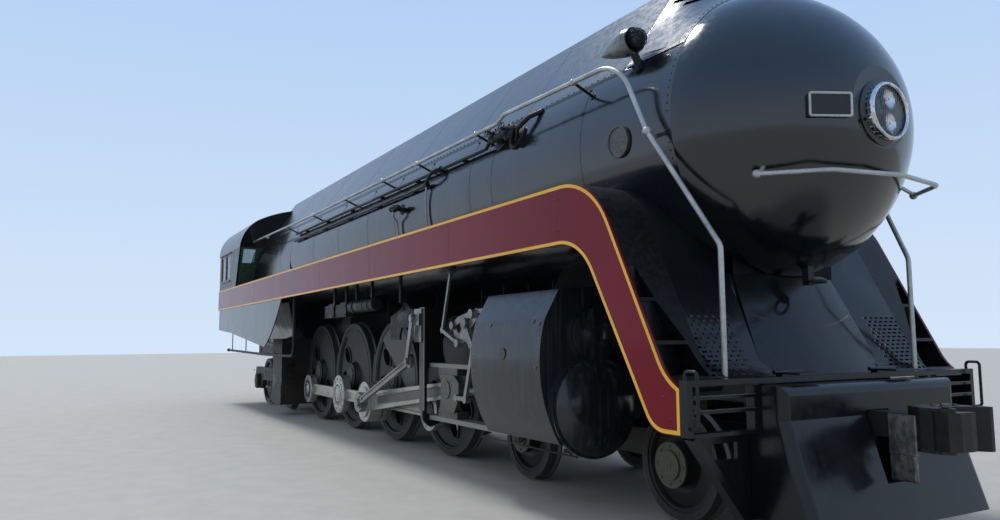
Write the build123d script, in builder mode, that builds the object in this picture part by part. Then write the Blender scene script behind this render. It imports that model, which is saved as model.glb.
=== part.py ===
from build123d import *
import os
from math import atan2, cos, degrees, hypot, radians, sin, sqrt

# Streamlined steam locomotive with a four-wheel leading truck, eight coupled driving
# wheels and a four-wheel trailing truck, without its tender. Millimetres.
# X points to the nose, Y to the left and Z up. The origin is the middle of the overall
# length, on the centre line, at the lowest point of the wheel flanges.

os.makedirs("parts", exist_ok=True)

# Overall reach
COUPLER_FACE_X = 9510
DRAWBAR_END_X = -9510

# Wheels and axles
FLANGE = 28
TYRE_BACK = 676
TYRE_WIDTH = 140
TYRE_THICK = 74
DRIVER_R = 889
LEAD_R = 457
TRAIL_R = 533
FRONT_DRIVER_X = 3190
DRIVER_PITCH = 1905
LEAD_FRONT_X = 7528
LEAD_REAR_X = 5153
TRAIL_FRONT_X = -4960
TRAIL_REAR_X = -6886
AXLE_R = 120
JOURNAL_R = 85

# Cranks and rods
CRANK_THROW = 406
RIGHT_CRANK_ANGLE = 234.75
CRANK_LEAD = 90
CRANK_FACE_Y = 862
PIN_R = 90
PIN_CLEAR = 0.6
ROD_INNER_Y = 880
ROD_OUTER_Y = 975
ROD_HEIGHT = 190
EYE_OUTER_Y = 1004
PIN_END_Y = 1012
MAIN_EYE_INNER_Y = 1024
MAIN_ROD_INNER_Y = 1090
MAIN_ROD_OUTER_Y = 1190
MAIN_EYE_OUTER_Y = 1215
WRIST_X = 3990
WRIST_Z = 920
CYLINDER_Y = 1140

# Boiler, nose and casing
BARREL_R = 1220
BARREL_Z = 3238
NOSE_SEAM_X = 8003
NOSE_LENGTH = 1006
NOSE_ROUND = 1.58
NOSE_SQUARE = 1.89
FIREBOX_FRONT_X = -3480
BACKHEAD_X = -7300
FIREBOX_BOTTOM_Z = 1560
CASING_EDGE_TURN = 58.5
CASING_LIP = 12
CASING_RISE = 447
CASING_CROWN = 62
CASING_SHOULDER_Y = 350
CASING_FRONT_X = 7250
STACK_X = 6500
SEAT = 0.3

# Running boards and skirts
SKIRT_Y = 1660
SKIRT_THICK = 20
SKIRT_TOP_Z = 2818
SKIRT_DEPTH = 508
SKIRT_FRONT_X = 8495
SKIRT_FRONT_TOP_Z = 1181
SKIRT_FRONT_BOTTOM_Z = 866
RIBBON_INNER_Y = 1255
BOARD_THICK = 30

# Frame, cylinders and pilot
FRAME_OUTER_Y = 560
FRAME_THICK = 130
FRAME_TOP_Z = 1400
FRAME_BOTTOM_Z = 690
FRAME_FRONT_X = 8330
FRAME_REAR_X = -9120
CYLINDER_REAR_X = 5520
CYLINDER_LENGTH = 1287
CYLINDER_OUTER_Y = 1700
CYLINDER_TOP_Z = 1958
CYLINDER_BOTTOM_Z = 584
DECK_Z = 1236
COUPLER_Z = 890

# Cab
CAB_REAR_X = -9014
CAB_FRONT_X = -6900
CAB_LEAN = 0.45
CAB_HALF = 1640
CAB_WALL = 45
CAB_FLOOR_Z = 2300
CAB_EAVE_Z = 3740
CAB_ROOF_BEND = 730

AXLE_Z_DRIVER = DRIVER_R + FLANGE
AXLE_Z_LEAD = LEAD_R + FLANGE
AXLE_Z_TRAIL = TRAIL_R + FLANGE
DRIVER_X = [FRONT_DRIVER_X - DRIVER_PITCH * i for i in range(4)]
MAIN_DRIVER_X = DRIVER_X[1]
RIGHT, LEFT = -1, 1
SIDES = (RIGHT, LEFT)
CRANK_ANGLE = {RIGHT: RIGHT_CRANK_ANGLE, LEFT: RIGHT_CRANK_ANGLE + CRANK_LEAD}
SIDE_NAME = {RIGHT: "right", LEFT: "left"}
BARREL_TOP_Z = BARREL_Z + BARREL_R
CASING_TOP_Z = BARREL_TOP_Z + CASING_RISE
CASING_SHOULDER_Z = CASING_TOP_Z - CASING_CROWN
CASING_EDGE_Y = (BARREL_R + CASING_LIP) * sin(radians(CASING_EDGE_TURN))
CASING_EDGE_Z = BARREL_Z + (BARREL_R + CASING_LIP) * cos(radians(CASING_EDGE_TURN))
SKIRT_BOTTOM_Z = SKIRT_TOP_Z - SKIRT_DEPTH
CYLINDER_FRONT_X = CYLINDER_REAR_X + CYLINDER_LENGTH
FRAME_INNER_Y = FRAME_OUTER_Y - FRAME_THICK
LEAD_PIVOT_X = (LEAD_FRONT_X + LEAD_REAR_X) / 2


def save(piece, name):
    """Label a finished piece and write its file."""
    piece.part.label = name
    export_step(piece.part, f"parts/{name}.step")


def upright(y):
    """Sketch plane along the engine: local X is +X, local Y is +Z, facing the right side."""
    return Plane(origin=(0, y, 0), x_dir=(1, 0, 0), z_dir=(0, -1, 0))


def across(x):
    """Sketch plane across the engine: local X is +Y, local Y is +Z, facing the nose."""
    return Plane(origin=(x, 0, 0), x_dir=(0, 1, 0), z_dir=(1, 0, 0))


def slab(side, inner, outer, mode=Mode.ADD):
    """Thicken the pending side sketch, drawn at y = side * inner, out to y = side * outer."""
    extrude(amount=-side * (outer - inner), mode=mode)


def box(x0, x1, y0, y1, z0, z1, mode=Mode.ADD):
    """Plain block between two corners, given in any order."""
    with Locations(((x0 + x1) / 2, (y0 + y1) / 2, (z0 + z1) / 2)):
        Box(abs(x1 - x0), abs(y1 - y0), abs(z1 - z0), mode=mode)


def bar(start, end, height):
    """Straight bar between two points of the current sketch."""
    length = hypot(end[0] - start[0], end[1] - start[1])
    angle = degrees(atan2(end[1] - start[1], end[0] - start[0]))
    middle = ((start[0] + end[0]) / 2, (start[1] + end[1]) / 2, 0)
    with Locations(Location(middle, (0, 0, angle))):
        Rectangle(length, height)


def disc(x, z, y0, y1, radius, mode=Mode.ADD):
    """Round boss whose axis runs across the engine, between two lateral places."""
    with BuildSketch(upright(y0)) as face:
        with Locations((x, z)):
            Circle(radius)
    extrude(face.sketch, amount=y0 - y1, mode=mode)


def drum(x0, x1, y, z, radius, mode=Mode.ADD):
    """Round boss whose axis runs along the engine."""
    with BuildSketch(across(x0)) as face:
        with Locations((y, z)):
            Circle(radius)
    extrude(face.sketch, amount=x1 - x0, mode=mode)


def tube(points, radius, bend):
    """Round bar along straight runs joined by arcs."""
    with BuildLine() as path:
        if len(points) > 2:
            FilletPolyline(*points, radius=bend)
        else:
            Line(*points)
    with BuildSketch(Plane(origin=path.line @ 0, z_dir=path.line % 0)) as ring:
        Circle(radius)
    sweep(sections=ring.sketch, path=path.line)


def outward(side, y0, y1):
    """Two lateral places of one side in rising order."""
    return sorted((side * y0, side * y1))


def between(start, end, share):
    """Point at a share of the way from one point to another."""
    return tuple(a + (b - a) * share for a, b in zip(start, end))


def on_barrel(turn, proud=0):
    """Lateral distance and height of a spot on the barrel, at an angle from its top."""
    radius = BARREL_R + proud
    return (radius * sin(radians(turn)), BARREL_Z + radius * cos(radians(turn)))


def crank_pin(side, x, z=AXLE_Z_DRIVER):
    """Centre of a crank pin on one side, in the side view."""
    angle = radians(CRANK_ANGLE[side])
    return (x + CRANK_THROW * cos(angle), z + CRANK_THROW * sin(angle))


def wheel_section(side, radius, hub_r, hub_in, hub_out, web_in, web_out, bulge=0):
    """Half section of a disc wheel with its tyre: lateral distance, radius."""
    tread = radius - TYRE_THICK
    back = TYRE_BACK
    face = TYRE_BACK + TYRE_WIDTH
    rim = tread - 45
    middle = (hub_r + rim) / 2
    points = [
        (hub_in, 0),
        (hub_in, hub_r),
        (web_in, hub_r + 30),
        (web_in + bulge, middle),
        (web_in, rim),
        (back, rim + 15),
        (back, radius + FLANGE - 6),
        (back + 10, radius + FLANGE),
        (back + 24, radius + FLANGE),
        (back + 40, radius),
        (face, radius - 5),
        (face, tread),
        (face - 10, tread),
        (face - 10, rim + 15),
        (web_out, rim),
        (web_out + bulge, middle),
        (web_out, hub_r + 30),
        (hub_out, hub_r),
        (hub_out, 0),
    ]
    return [(side * t, r) for t, r in points]


def spin_wheel(x, z, section):
    """Turn a wheel's half section about its axle."""
    with BuildSketch(Plane(origin=(x, 0, z), x_dir=(0, 1, 0), z_dir=(1, 0, 0))) as half:
        with BuildLine() as outline:
            Polyline(*section, close=True)
        make_face(outline.edges())
    revolve(profiles=half.sketch, axis=Axis((x, 0, z), (0, 1, 0)), revolution_arc=360)


# Driving wheelsets: disc centres with lipped oval openings, counterweight, crank and pin
HUB_R = 205
HUB_OUT = 838
WEB_IN = 712
WEB_OUT = 778
WEB_STEP = 5
OPENING_AT = 505
OPENING_LONG = 165
OPENING_WIDE = 105
OPENING_LIP = 24
LIP_OUT = 796
OPENING_TURNS = (48, 96, -48, -96)
BOSS_R = 165
WEIGHT_OUT = 812
WEIGHT_R = DRIVER_R - TYRE_THICK - 30
WEIGHT_CHORD = 320
MAIN_WEIGHT_CHORD = 190
AXLE_CAP_R = 130
AXLE_CAP_OUT = 874
PIN_CAP_R = 165
PIN_CAP_IN = EYE_OUTER_Y + 4
PIN_CAP_OUT = MAIN_EYE_INNER_Y - 6

for number, axle_x in enumerate(DRIVER_X, start=1):
    main_driver = axle_x == MAIN_DRIVER_X
    chord = MAIN_WEIGHT_CHORD if main_driver else WEIGHT_CHORD
    with BuildPart() as driver_wheelset:
        disc(axle_x, AXLE_Z_DRIVER, -WEB_IN, WEB_IN, AXLE_R)
        for side in SIDES:
            section = wheel_section(side, DRIVER_R, HUB_R, WEB_IN - 70, HUB_OUT, WEB_IN, WEB_OUT)
            spin_wheel(axle_x, AXLE_Z_DRIVER, section)
            angle = CRANK_ANGLE[side]
            spots = []
            for turn in OPENING_TURNS:
                at = radians(angle + turn)
                spot = (axle_x + OPENING_AT * cos(at), AXLE_Z_DRIVER + OPENING_AT * sin(at), 0)
                spots.append(Location(spot, (0, 0, angle + turn)))
            with BuildSketch(upright(side * (WEB_OUT - WEB_STEP))):
                with Locations(*spots):
                    Ellipse(OPENING_LONG + OPENING_LIP, OPENING_WIDE + OPENING_LIP)
            slab(side, WEB_OUT - WEB_STEP, LIP_OUT)
            with BuildSketch(upright(side * WEB_OUT)):
                with Locations((axle_x, AXLE_Z_DRIVER)):
                    Circle(WEIGHT_R)
                away = radians(angle)
                middle = WEIGHT_R - chord
                cut_x = axle_x + middle * cos(away)
                cut_z = AXLE_Z_DRIVER + middle * sin(away)
                with Locations(Location((cut_x, cut_z, 0), (0, 0, angle))):
                    Rectangle(2 * WEIGHT_R, 3 * WEIGHT_R, mode=Mode.SUBTRACT)
            slab(side, WEB_OUT, WEIGHT_OUT)
            with BuildSketch(upright(side * (WEB_IN - WEB_STEP))):
                with Locations(*spots):
                    Ellipse(OPENING_LONG, OPENING_WIDE)
            slab(side, WEB_IN - WEB_STEP, WEIGHT_OUT + WEB_STEP, mode=Mode.SUBTRACT)
            pin = crank_pin(side, axle_x)
            with BuildSketch(upright(side * WEB_OUT)):
                with Locations((axle_x, AXLE_Z_DRIVER)):
                    Circle(HUB_R)
                with Locations(pin):
                    Circle(BOSS_R)
                make_hull()
            slab(side, WEB_OUT, CRANK_FACE_Y)
            disc(axle_x, AXLE_Z_DRIVER, side * CRANK_FACE_Y, side * AXLE_CAP_OUT, AXLE_CAP_R)
            disc(*pin, side * CRANK_FACE_Y, side * PIN_END_Y, PIN_R)
            if not main_driver:
                disc(*pin, side * PIN_CAP_IN, side * PIN_CAP_OUT, PIN_CAP_R)
    save(driver_wheelset, f"driver_wheelset_{number}")

# Side rods: one fluted bar on each side with a round bearing housing at every crank pin
EYE_R = (262, 300, 323, 267)
ROD_RELIEF = 15
FLUTE_DEPTH = 22
FLUTE_EDGE = 38
EYE_STEP = 5
for side in SIDES:
    pins = [crank_pin(side, x) for x in DRIVER_X]
    rod_inner = ROD_INNER_Y + ROD_RELIEF
    rod_outer = ROD_OUTER_Y - ROD_RELIEF
    flute_floor = rod_outer - FLUTE_DEPTH
    with BuildPart() as side_rods:
        with BuildSketch(upright(side * rod_inner)):
            for front, rear in zip(pins, pins[1:]):
                bar(front, rear, ROD_HEIGHT)
        slab(side, rod_inner, rod_outer)
        with BuildSketch(upright(side * flute_floor)):
            for front, rear in zip(pins, pins[1:]):
                bar(front, rear, ROD_HEIGHT - 2 * FLUTE_EDGE)
        slab(side, flute_floor, rod_outer + EYE_STEP, mode=Mode.SUBTRACT)
        with BuildSketch(upright(side * ROD_INNER_Y)):
            for pin, eye in zip(pins, EYE_R):
                with Locations(pin):
                    Circle(eye)
        slab(side, ROD_INNER_Y, EYE_OUTER_Y)
        with BuildSketch(upright(side * (ROD_INNER_Y - EYE_STEP))):
            with Locations(*pins):
                Circle(PIN_R + PIN_CLEAR)
        slab(side, ROD_INNER_Y - EYE_STEP, EYE_OUTER_Y + EYE_STEP, mode=Mode.SUBTRACT)
    save(side_rods, f"side_rods_{SIDE_NAME[side]}")

# Leading and trailing wheelsets: dished disc wheels, round bearing caps on the leading ones
SMALL_HUB_R = 130
SMALL_HUB_IN = 640
SMALL_HUB_OUT = 830
SMALL_WEB_IN = 725
SMALL_WEB_OUT = 765
WEB_BULGE = 22
LEAD_CAP_R = 185
LEAD_CAP_OUT = 905
LEAD_CAP_NOSE_R = 120
LEAD_CAP_NOSE_OUT = 925
TRAIL_JOURNAL_OUT = 1010
for name, axle_x, radius in (
    ("lead_wheelset_1", LEAD_FRONT_X, LEAD_R),
    ("lead_wheelset_2", LEAD_REAR_X, LEAD_R),
    ("trailing_wheelset_1", TRAIL_FRONT_X, TRAIL_R),
    ("trailing_wheelset_2", TRAIL_REAR_X, TRAIL_R),
):
    with BuildPart() as wheelset:
        axle_z = radius + FLANGE
        leading = radius == LEAD_R
        axle_half = SMALL_HUB_OUT if leading else TRAIL_JOURNAL_OUT
        disc(axle_x, axle_z, -axle_half, axle_half, JOURNAL_R)
        for side in SIDES:
            reach = (SMALL_HUB_IN, SMALL_HUB_OUT, SMALL_WEB_IN, SMALL_WEB_OUT)
            section = wheel_section(side, radius, SMALL_HUB_R, *reach, WEB_BULGE)
            spin_wheel(axle_x, axle_z, section)
            if leading:
                disc(axle_x, axle_z, side * (SMALL_HUB_OUT - WEB_STEP), side * LEAD_CAP_OUT,
                     LEAD_CAP_R)
                disc(axle_x, axle_z, side * LEAD_CAP_OUT, side * LEAD_CAP_NOSE_OUT, LEAD_CAP_NOSE_R)
    save(wheelset, name)

# Leading truck: cast frame inside the wheels, with a centre plate under the saddle
TRUCK_BEAM_IN = 430
TRUCK_BEAM_OUT = 560
TRUCK_OVERHANG = 330
TRUCK_BAR_LOW = 90
TRUCK_BAR_HIGH = 210
TRUCK_WAIST = 30
TRUCK_WAIST_IN = 450
TRUCK_END_THICK = 100
TRUCK_END_Z = 400
TRUCK_TOP_Z = 690
TRUCK_BOLSTER_HALF = 300
TRUCK_BOLSTER_Z = 440
CENTRE_PLATE_R = 260
CENTRE_PLATE_TOP_Z = 750
with BuildPart() as lead_truck_frame:
    low_z = AXLE_Z_LEAD - TRUCK_BAR_LOW
    high_z = AXLE_Z_LEAD + TRUCK_BAR_HIGH
    for side in SIDES:
        with BuildSketch(upright(side * TRUCK_BEAM_IN)):
            with BuildLine():
                Polyline(
                    (LEAD_REAR_X - TRUCK_OVERHANG, low_z),
                    (LEAD_REAR_X - TRUCK_OVERHANG, high_z),
                    (LEAD_FRONT_X + TRUCK_OVERHANG, high_z),
                    (LEAD_FRONT_X + TRUCK_OVERHANG, low_z),
                    (LEAD_FRONT_X - TRUCK_OVERHANG, low_z),
                    (LEAD_FRONT_X - TRUCK_WAIST_IN, AXLE_Z_LEAD - TRUCK_WAIST),
                    (LEAD_REAR_X + TRUCK_WAIST_IN, AXLE_Z_LEAD - TRUCK_WAIST),
                    (LEAD_REAR_X + TRUCK_OVERHANG, low_z),
                    close=True,
                )
            make_face()
            with Locations((LEAD_FRONT_X, AXLE_Z_LEAD), (LEAD_REAR_X, AXLE_Z_LEAD)):
                Circle(JOURNAL_R + PIN_CLEAR, mode=Mode.SUBTRACT)
        slab(side, TRUCK_BEAM_IN, TRUCK_BEAM_OUT)
    beam = (-TRUCK_BEAM_IN, TRUCK_BEAM_IN)
    box(LEAD_PIVOT_X - TRUCK_BOLSTER_HALF, LEAD_PIVOT_X + TRUCK_BOLSTER_HALF, *beam,
        TRUCK_BOLSTER_Z, TRUCK_TOP_Z)
    rear_end = LEAD_REAR_X - TRUCK_OVERHANG
    front_end = LEAD_FRONT_X + TRUCK_OVERHANG
    box(rear_end, rear_end + TRUCK_END_THICK, *beam, TRUCK_END_Z, TRUCK_TOP_Z)
    box(front_end - TRUCK_END_THICK, front_end, *beam, TRUCK_END_Z, TRUCK_TOP_Z)
    with BuildSketch(Plane.XY.offset(TRUCK_TOP_Z)):
        with Locations((LEAD_PIVOT_X, 0)):
            Circle(CENTRE_PLATE_R)
    extrude(amount=CENTRE_PLATE_TOP_Z - TRUCK_TOP_Z)
save(lead_truck_frame, "lead_truck_frame")

# Trailing truck: outside-bearing cast frame, pivoted ahead of its wheels
TRAIL_PIVOT_X = -3640
TRAIL_PIN_R = 70
TRAIL_TONGUE_R = 180
TRAIL_TONGUE_Z = 620
TRAIL_TONGUE_THICK = 140
TRAIL_BEAM_IN = 905
TRAIL_BEAM_OUT = 1030
TRAIL_BEAM_TOP = 330
TRAIL_BEAM_WAIST = 40
TRAIL_BEAM_LOW = 170
TRAIL_BOX_HALF = 240
TRAIL_END_HALF = 420
TRAIL_OVER = 330
TRAIL_BOLSTER_HALF = 150
TRAIL_BOLSTER_TOP_Z = 860
TRAIL_COVER_R = 175
TRAIL_COVER_OUT = 1100
TRAIL_SPRING_R = 105
TRAIL_SPRING_Z = 430
with BuildPart() as trailing_truck_frame:
    top_z = AXLE_Z_TRAIL + TRAIL_BEAM_TOP
    shoulder_z = AXLE_Z_TRAIL + 60
    waist_z = AXLE_Z_TRAIL + TRAIL_BEAM_WAIST
    low_z = AXLE_Z_TRAIL - TRAIL_BEAM_LOW
    middle_x = (TRAIL_FRONT_X + TRAIL_REAR_X) / 2
    for side in SIDES:
        with BuildSketch(upright(side * TRAIL_BEAM_IN)):
            with BuildLine():
                Polyline(
                    (TRAIL_REAR_X - TRAIL_END_HALF, shoulder_z),
                    (TRAIL_REAR_X - TRAIL_OVER, top_z),
                    (TRAIL_FRONT_X + TRAIL_OVER, top_z),
                    (TRAIL_FRONT_X + TRAIL_END_HALF, shoulder_z),
                    (TRAIL_FRONT_X + TRAIL_BOX_HALF, low_z),
                    (TRAIL_FRONT_X - TRAIL_BOX_HALF, low_z),
                    (TRAIL_FRONT_X - TRAIL_END_HALF, waist_z),
                    (TRAIL_REAR_X + TRAIL_END_HALF, waist_z),
                    (TRAIL_REAR_X + TRAIL_BOX_HALF, low_z),
                    (TRAIL_REAR_X - TRAIL_BOX_HALF, low_z),
                    close=True,
                )
            make_face()
        slab(side, TRAIL_BEAM_IN, TRAIL_BEAM_OUT)
        for x in (TRAIL_FRONT_X, TRAIL_REAR_X):
            disc(x, AXLE_Z_TRAIL, side * TRAIL_BEAM_OUT, side * TRAIL_COVER_OUT, TRAIL_COVER_R)
            disc(x, AXLE_Z_TRAIL, side * TRAIL_COVER_OUT, side * (TRAIL_COVER_OUT + 15),
                 TRAIL_COVER_R - 60)
        bore = (side * (TRAIL_BEAM_IN - EYE_STEP), side * (TRAIL_JOURNAL_OUT + EYE_STEP))
        for x in (TRAIL_FRONT_X, TRAIL_REAR_X):
            disc(x, AXLE_Z_TRAIL, *bore, JOURNAL_R + PIN_CLEAR, mode=Mode.SUBTRACT)
        beam_y = side * (TRAIL_BEAM_IN + TRAIL_BEAM_OUT) / 2
        box(middle_x - 260, middle_x + 260, *outward(side, TRAIL_BEAM_IN, TRAIL_BEAM_OUT),
            TRAIL_SPRING_Z, TRAIL_SPRING_Z + 50)
        for x in (middle_x - 150, middle_x + 150):
            with BuildSketch(Plane.XY.offset(TRAIL_SPRING_Z)):
                with Locations((x, beam_y)):
                    Circle(TRAIL_SPRING_R - 45)
            extrude(amount=waist_z - TRAIL_SPRING_Z + EYE_STEP)
    box(middle_x - TRAIL_BOLSTER_HALF, middle_x + TRAIL_BOLSTER_HALF, -TRAIL_BEAM_IN, TRAIL_BEAM_IN,
        TRAIL_TONGUE_Z, TRAIL_BOLSTER_TOP_Z)
    with BuildSketch(Plane.XY.offset(TRAIL_TONGUE_Z)):
        with BuildLine():
            Polyline(
                (middle_x + TRAIL_BOLSTER_HALF, -300),
                (TRAIL_PIVOT_X, -TRAIL_TONGUE_R),
                (TRAIL_PIVOT_X, TRAIL_TONGUE_R),
                (middle_x + TRAIL_BOLSTER_HALF, 300),
                close=True,
            )
        make_face()
        with Locations((TRAIL_PIVOT_X, 0)):
            Circle(TRAIL_TONGUE_R)
        with Locations((TRAIL_PIVOT_X, 0)):
            Circle(TRAIL_PIN_R + PIN_CLEAR, mode=Mode.SUBTRACT)
    extrude(amount=TRAIL_TONGUE_THICK)
    disc(TRAIL_FRONT_X, AXLE_Z_TRAIL, -TRAIL_BEAM_IN - EYE_STEP, TRAIL_BEAM_IN + EYE_STEP,
         AXLE_R + 20, mode=Mode.SUBTRACT)
save(trailing_truck_frame, "trailing_truck_frame")

# Main frame: one cast bed, two deep side members joined by transoms
JAW_HALF = 190
JAW_TOP_Z = 1110
JAW_BOTTOM_Z = 740
FRAME_REST_Z = 1010
FRAME_STEP_X = 7100
DECK_THICK = 40
FRAME_FRONT_TOP_Z = DECK_Z - DECK_THICK - SEAT
FRAME_REAR_Z = 1180
FRAME_RAMP = 200
DEEP_FRONT_X = DRIVER_X[0] + 1010
DEEP_REAR_X = DRIVER_X[-1] - 760
TRANSOM_HALF = 60
TRANSOM_BOTTOM_Z = 1120
TRANSOM_TOP_Z = FRAME_TOP_Z - 20
BETWEEN_DRIVERS = DRIVER_PITCH / 2
TRANSOM_X = [DRIVER_X[0] + 900] + [x - BETWEEN_DRIVERS for x in DRIVER_X[:3]]
FRONT_TRANSOM_X = (8180, 7300)
REAR_TRANSOM_LONG = 500
PIVOT_BLOCK_HALF = 200
PIVOT_PIN_FOOT_Z = 600
with BuildPart() as main_frame:
    for side in SIDES:
        with BuildSketch(upright(side * FRAME_INNER_Y)):
            with BuildLine():
                Polyline(
                    (FRAME_REAR_X, FRAME_REAR_Z),
                    (FRAME_REAR_X, FRAME_TOP_Z),
                    (FRAME_STEP_X, FRAME_TOP_Z),
                    (FRAME_STEP_X, FRAME_FRONT_TOP_Z),
                    (FRAME_FRONT_X, FRAME_FRONT_TOP_Z),
                    (FRAME_FRONT_X, FRAME_REST_Z),
                    (DEEP_FRONT_X + FRAME_RAMP, FRAME_REST_Z),
                    (DEEP_FRONT_X, FRAME_BOTTOM_Z),
                    (DEEP_REAR_X, FRAME_BOTTOM_Z),
                    (DEEP_REAR_X - FRAME_RAMP, FRAME_REAR_Z),
                    close=True,
                )
            make_face()
            with Locations(*[(x, (JAW_TOP_Z + JAW_BOTTOM_Z) / 2) for x in DRIVER_X]):
                Rectangle(2 * JAW_HALF, JAW_TOP_Z - JAW_BOTTOM_Z, mode=Mode.SUBTRACT)
        slab(side, FRAME_INNER_Y, FRAME_OUTER_Y)
    inside = (-FRAME_INNER_Y, FRAME_INNER_Y)
    for x in TRANSOM_X:
        box(x - TRANSOM_HALF, x + TRANSOM_HALF, *inside, TRANSOM_BOTTOM_Z, TRANSOM_TOP_Z)
    for x in FRONT_TRANSOM_X:
        box(x - TRANSOM_HALF, x + TRANSOM_HALF, *inside, FRAME_REST_Z, FRAME_FRONT_TOP_Z)
    box(FRAME_REAR_X, FRAME_REAR_X + REAR_TRANSOM_LONG, *inside, FRAME_REAR_Z, FRAME_TOP_Z)
    pivot_block = (TRAIL_PIVOT_X - PIVOT_BLOCK_HALF, TRAIL_PIVOT_X + PIVOT_BLOCK_HALF)
    box(*pivot_block, *inside, FRAME_REAR_Z, FRAME_TOP_Z)
    with BuildSketch(Plane.XY.offset(PIVOT_PIN_FOOT_Z)):
        with Locations((TRAIL_PIVOT_X, 0)):
            Circle(TRAIL_PIN_R)
    extrude(amount=FRAME_REAR_Z - PIVOT_PIN_FOOT_Z)
save(main_frame, "main_frame")

# Driving boxes: one in each frame jaw
BOX_FLANGE = 25
with BuildPart() as driving_boxes:
    for x in DRIVER_X:
        for side in SIDES:
            with BuildSketch(upright(side * (FRAME_INNER_Y - BOX_FLANGE))):
                with Locations((x, (JAW_TOP_Z + JAW_BOTTOM_Z) / 2)):
                    Rectangle(2 * (JAW_HALF - SEAT), JAW_TOP_Z - JAW_BOTTOM_Z - 2 * SEAT)
                with Locations((x, AXLE_Z_DRIVER)):
                    Circle(AXLE_R + PIN_CLEAR, mode=Mode.SUBTRACT)
            slab(side, FRAME_INNER_Y - BOX_FLANGE, FRAME_OUTER_Y + BOX_FLANGE)
save(driving_boxes, "driving_boxes")

# Brake rigging: a hanger and shoe behind every driving wheel, joined by cross beams
SHOE_THICK = 60
SHOE_GAP = 12
SHOE_SWEEP = 24
SHOE_Y = (724, 812)
HANGER_Y = (640, 676)
HANGER_HALF = 35
HANGER_TOP_Z = 1330
BRAKE_BEAM_Z = 570
with BuildPart() as brake_rigging:
    for x in DRIVER_X:
        for side in SIDES:
            shoe_in = DRIVER_R + SHOE_GAP
            with BuildSketch(upright(side * SHOE_Y[0])) as shoe:
                with BuildLine() as outline:
                    arcs = []
                    for radius in (shoe_in, shoe_in + SHOE_THICK):
                        ends = []
                        for sweep_turn in (180 - SHOE_SWEEP, 180, 180 + SHOE_SWEEP):
                            at = radians(sweep_turn)
                            ends.append((x + radius * cos(at), AXLE_Z_DRIVER + radius * sin(at)))
                        arcs.append(ends)
                        ThreePointArc(*ends)
                    Line(arcs[0][0], arcs[1][0])
                    Line(arcs[0][2], arcs[1][2])
                make_face(outline.edges())
            extrude(shoe.sketch, amount=-side * (SHOE_Y[1] - SHOE_Y[0]))
            back_x = x - DRIVER_R - SHOE_GAP - SHOE_THICK / 2
            box(back_x - HANGER_HALF, back_x + HANGER_HALF, *outward(side, *HANGER_Y), BRAKE_BEAM_Z,
                HANGER_TOP_Z)
            box(back_x - HANGER_HALF, back_x, *outward(side, HANGER_Y[0], SHOE_Y[1]),
                AXLE_Z_DRIVER - 60, AXLE_Z_DRIVER + 60)
            box(back_x - HANGER_HALF, back_x + HANGER_HALF,
                *outward(side, FRAME_OUTER_Y + SEAT, HANGER_Y[1]), HANGER_TOP_Z - 70, HANGER_TOP_Z)
        box(back_x - HANGER_HALF, back_x + HANGER_HALF, -HANGER_Y[1], HANGER_Y[1],
            BRAKE_BEAM_Z - 50, BRAKE_BEAM_Z + 20)
save(brake_rigging, "brake_rigging")

# Boiler: round barrel and a firebox whose sides drop to the frame
FIREBOX_WAIST_Z = 2300
FIREBOX_FOOT_Y = 1080
with BuildPart() as boiler_jacket:
    drum(FIREBOX_FRONT_X, NOSE_SEAM_X, 0, BARREL_Z, BARREL_R)
save(boiler_jacket, "boiler_jacket")

with BuildPart() as firebox:
    with BuildSketch(across(BACKHEAD_X)):
        with Locations((0, BARREL_Z)):
            Circle(BARREL_R)
        with BuildLine():
            Polyline(
                (-BARREL_R, BARREL_Z),
                (BARREL_R, BARREL_Z),
                (BARREL_R, FIREBOX_WAIST_Z),
                (FIREBOX_FOOT_Y, FIREBOX_BOTTOM_Z),
                (-FIREBOX_FOOT_Y, FIREBOX_BOTTOM_Z),
                (-BARREL_R, FIREBOX_WAIST_Z),
                close=True,
            )
        make_face()
    extrude(amount=FIREBOX_FRONT_X - BACKHEAD_X - SEAT)
save(firebox, "firebox")

# Ashpan: tray under the firebox with a hopper and door hanging outside the frame
ASHPAN_HALF = 1060
ASHPAN_EDGE_Z = 1480
HOPPER_X = (-4290, -3540)
HOPPER_Y = (600, 1330)
DOOR_TOP_Z = 640
DOOR_FOOT_Z = 229
DOOR_PROUD = 15
with BuildPart() as ashpan:
    with BuildSketch(across(FIREBOX_FRONT_X - 3000)):
        with BuildLine():
            Polyline(
                (-ASHPAN_HALF, FIREBOX_BOTTOM_Z - SEAT),
                (ASHPAN_HALF, FIREBOX_BOTTOM_Z - SEAT),
                (ASHPAN_HALF, ASHPAN_EDGE_Z),
                (FRAME_OUTER_Y + 40, FRAME_TOP_Z + SEAT),
                (-FRAME_OUTER_Y - 40, FRAME_TOP_Z + SEAT),
                (-ASHPAN_HALF, ASHPAN_EDGE_Z),
                close=True,
            )
        make_face()
    extrude(amount=3000)
    for side in SIDES:
        box(*HOPPER_X, *outward(side, *HOPPER_Y), DOOR_TOP_Z, FIREBOX_BOTTOM_Z - SEAT)
        door = (HOPPER_X[0], HOPPER_X[1] + DOOR_PROUD)
        box(*door, *outward(side, HOPPER_Y[0], HOPPER_Y[1] + DOOR_PROUD), DOOR_FOOT_Z, DOOR_TOP_Z)
save(ashpan, "ashpan")


def nose_radius(along):
    """Radius of the nose at a distance ahead of its seam."""
    return BARREL_R * (1 - (along / NOSE_LENGTH) ** NOSE_ROUND) ** (1 / NOSE_SQUARE)


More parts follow.
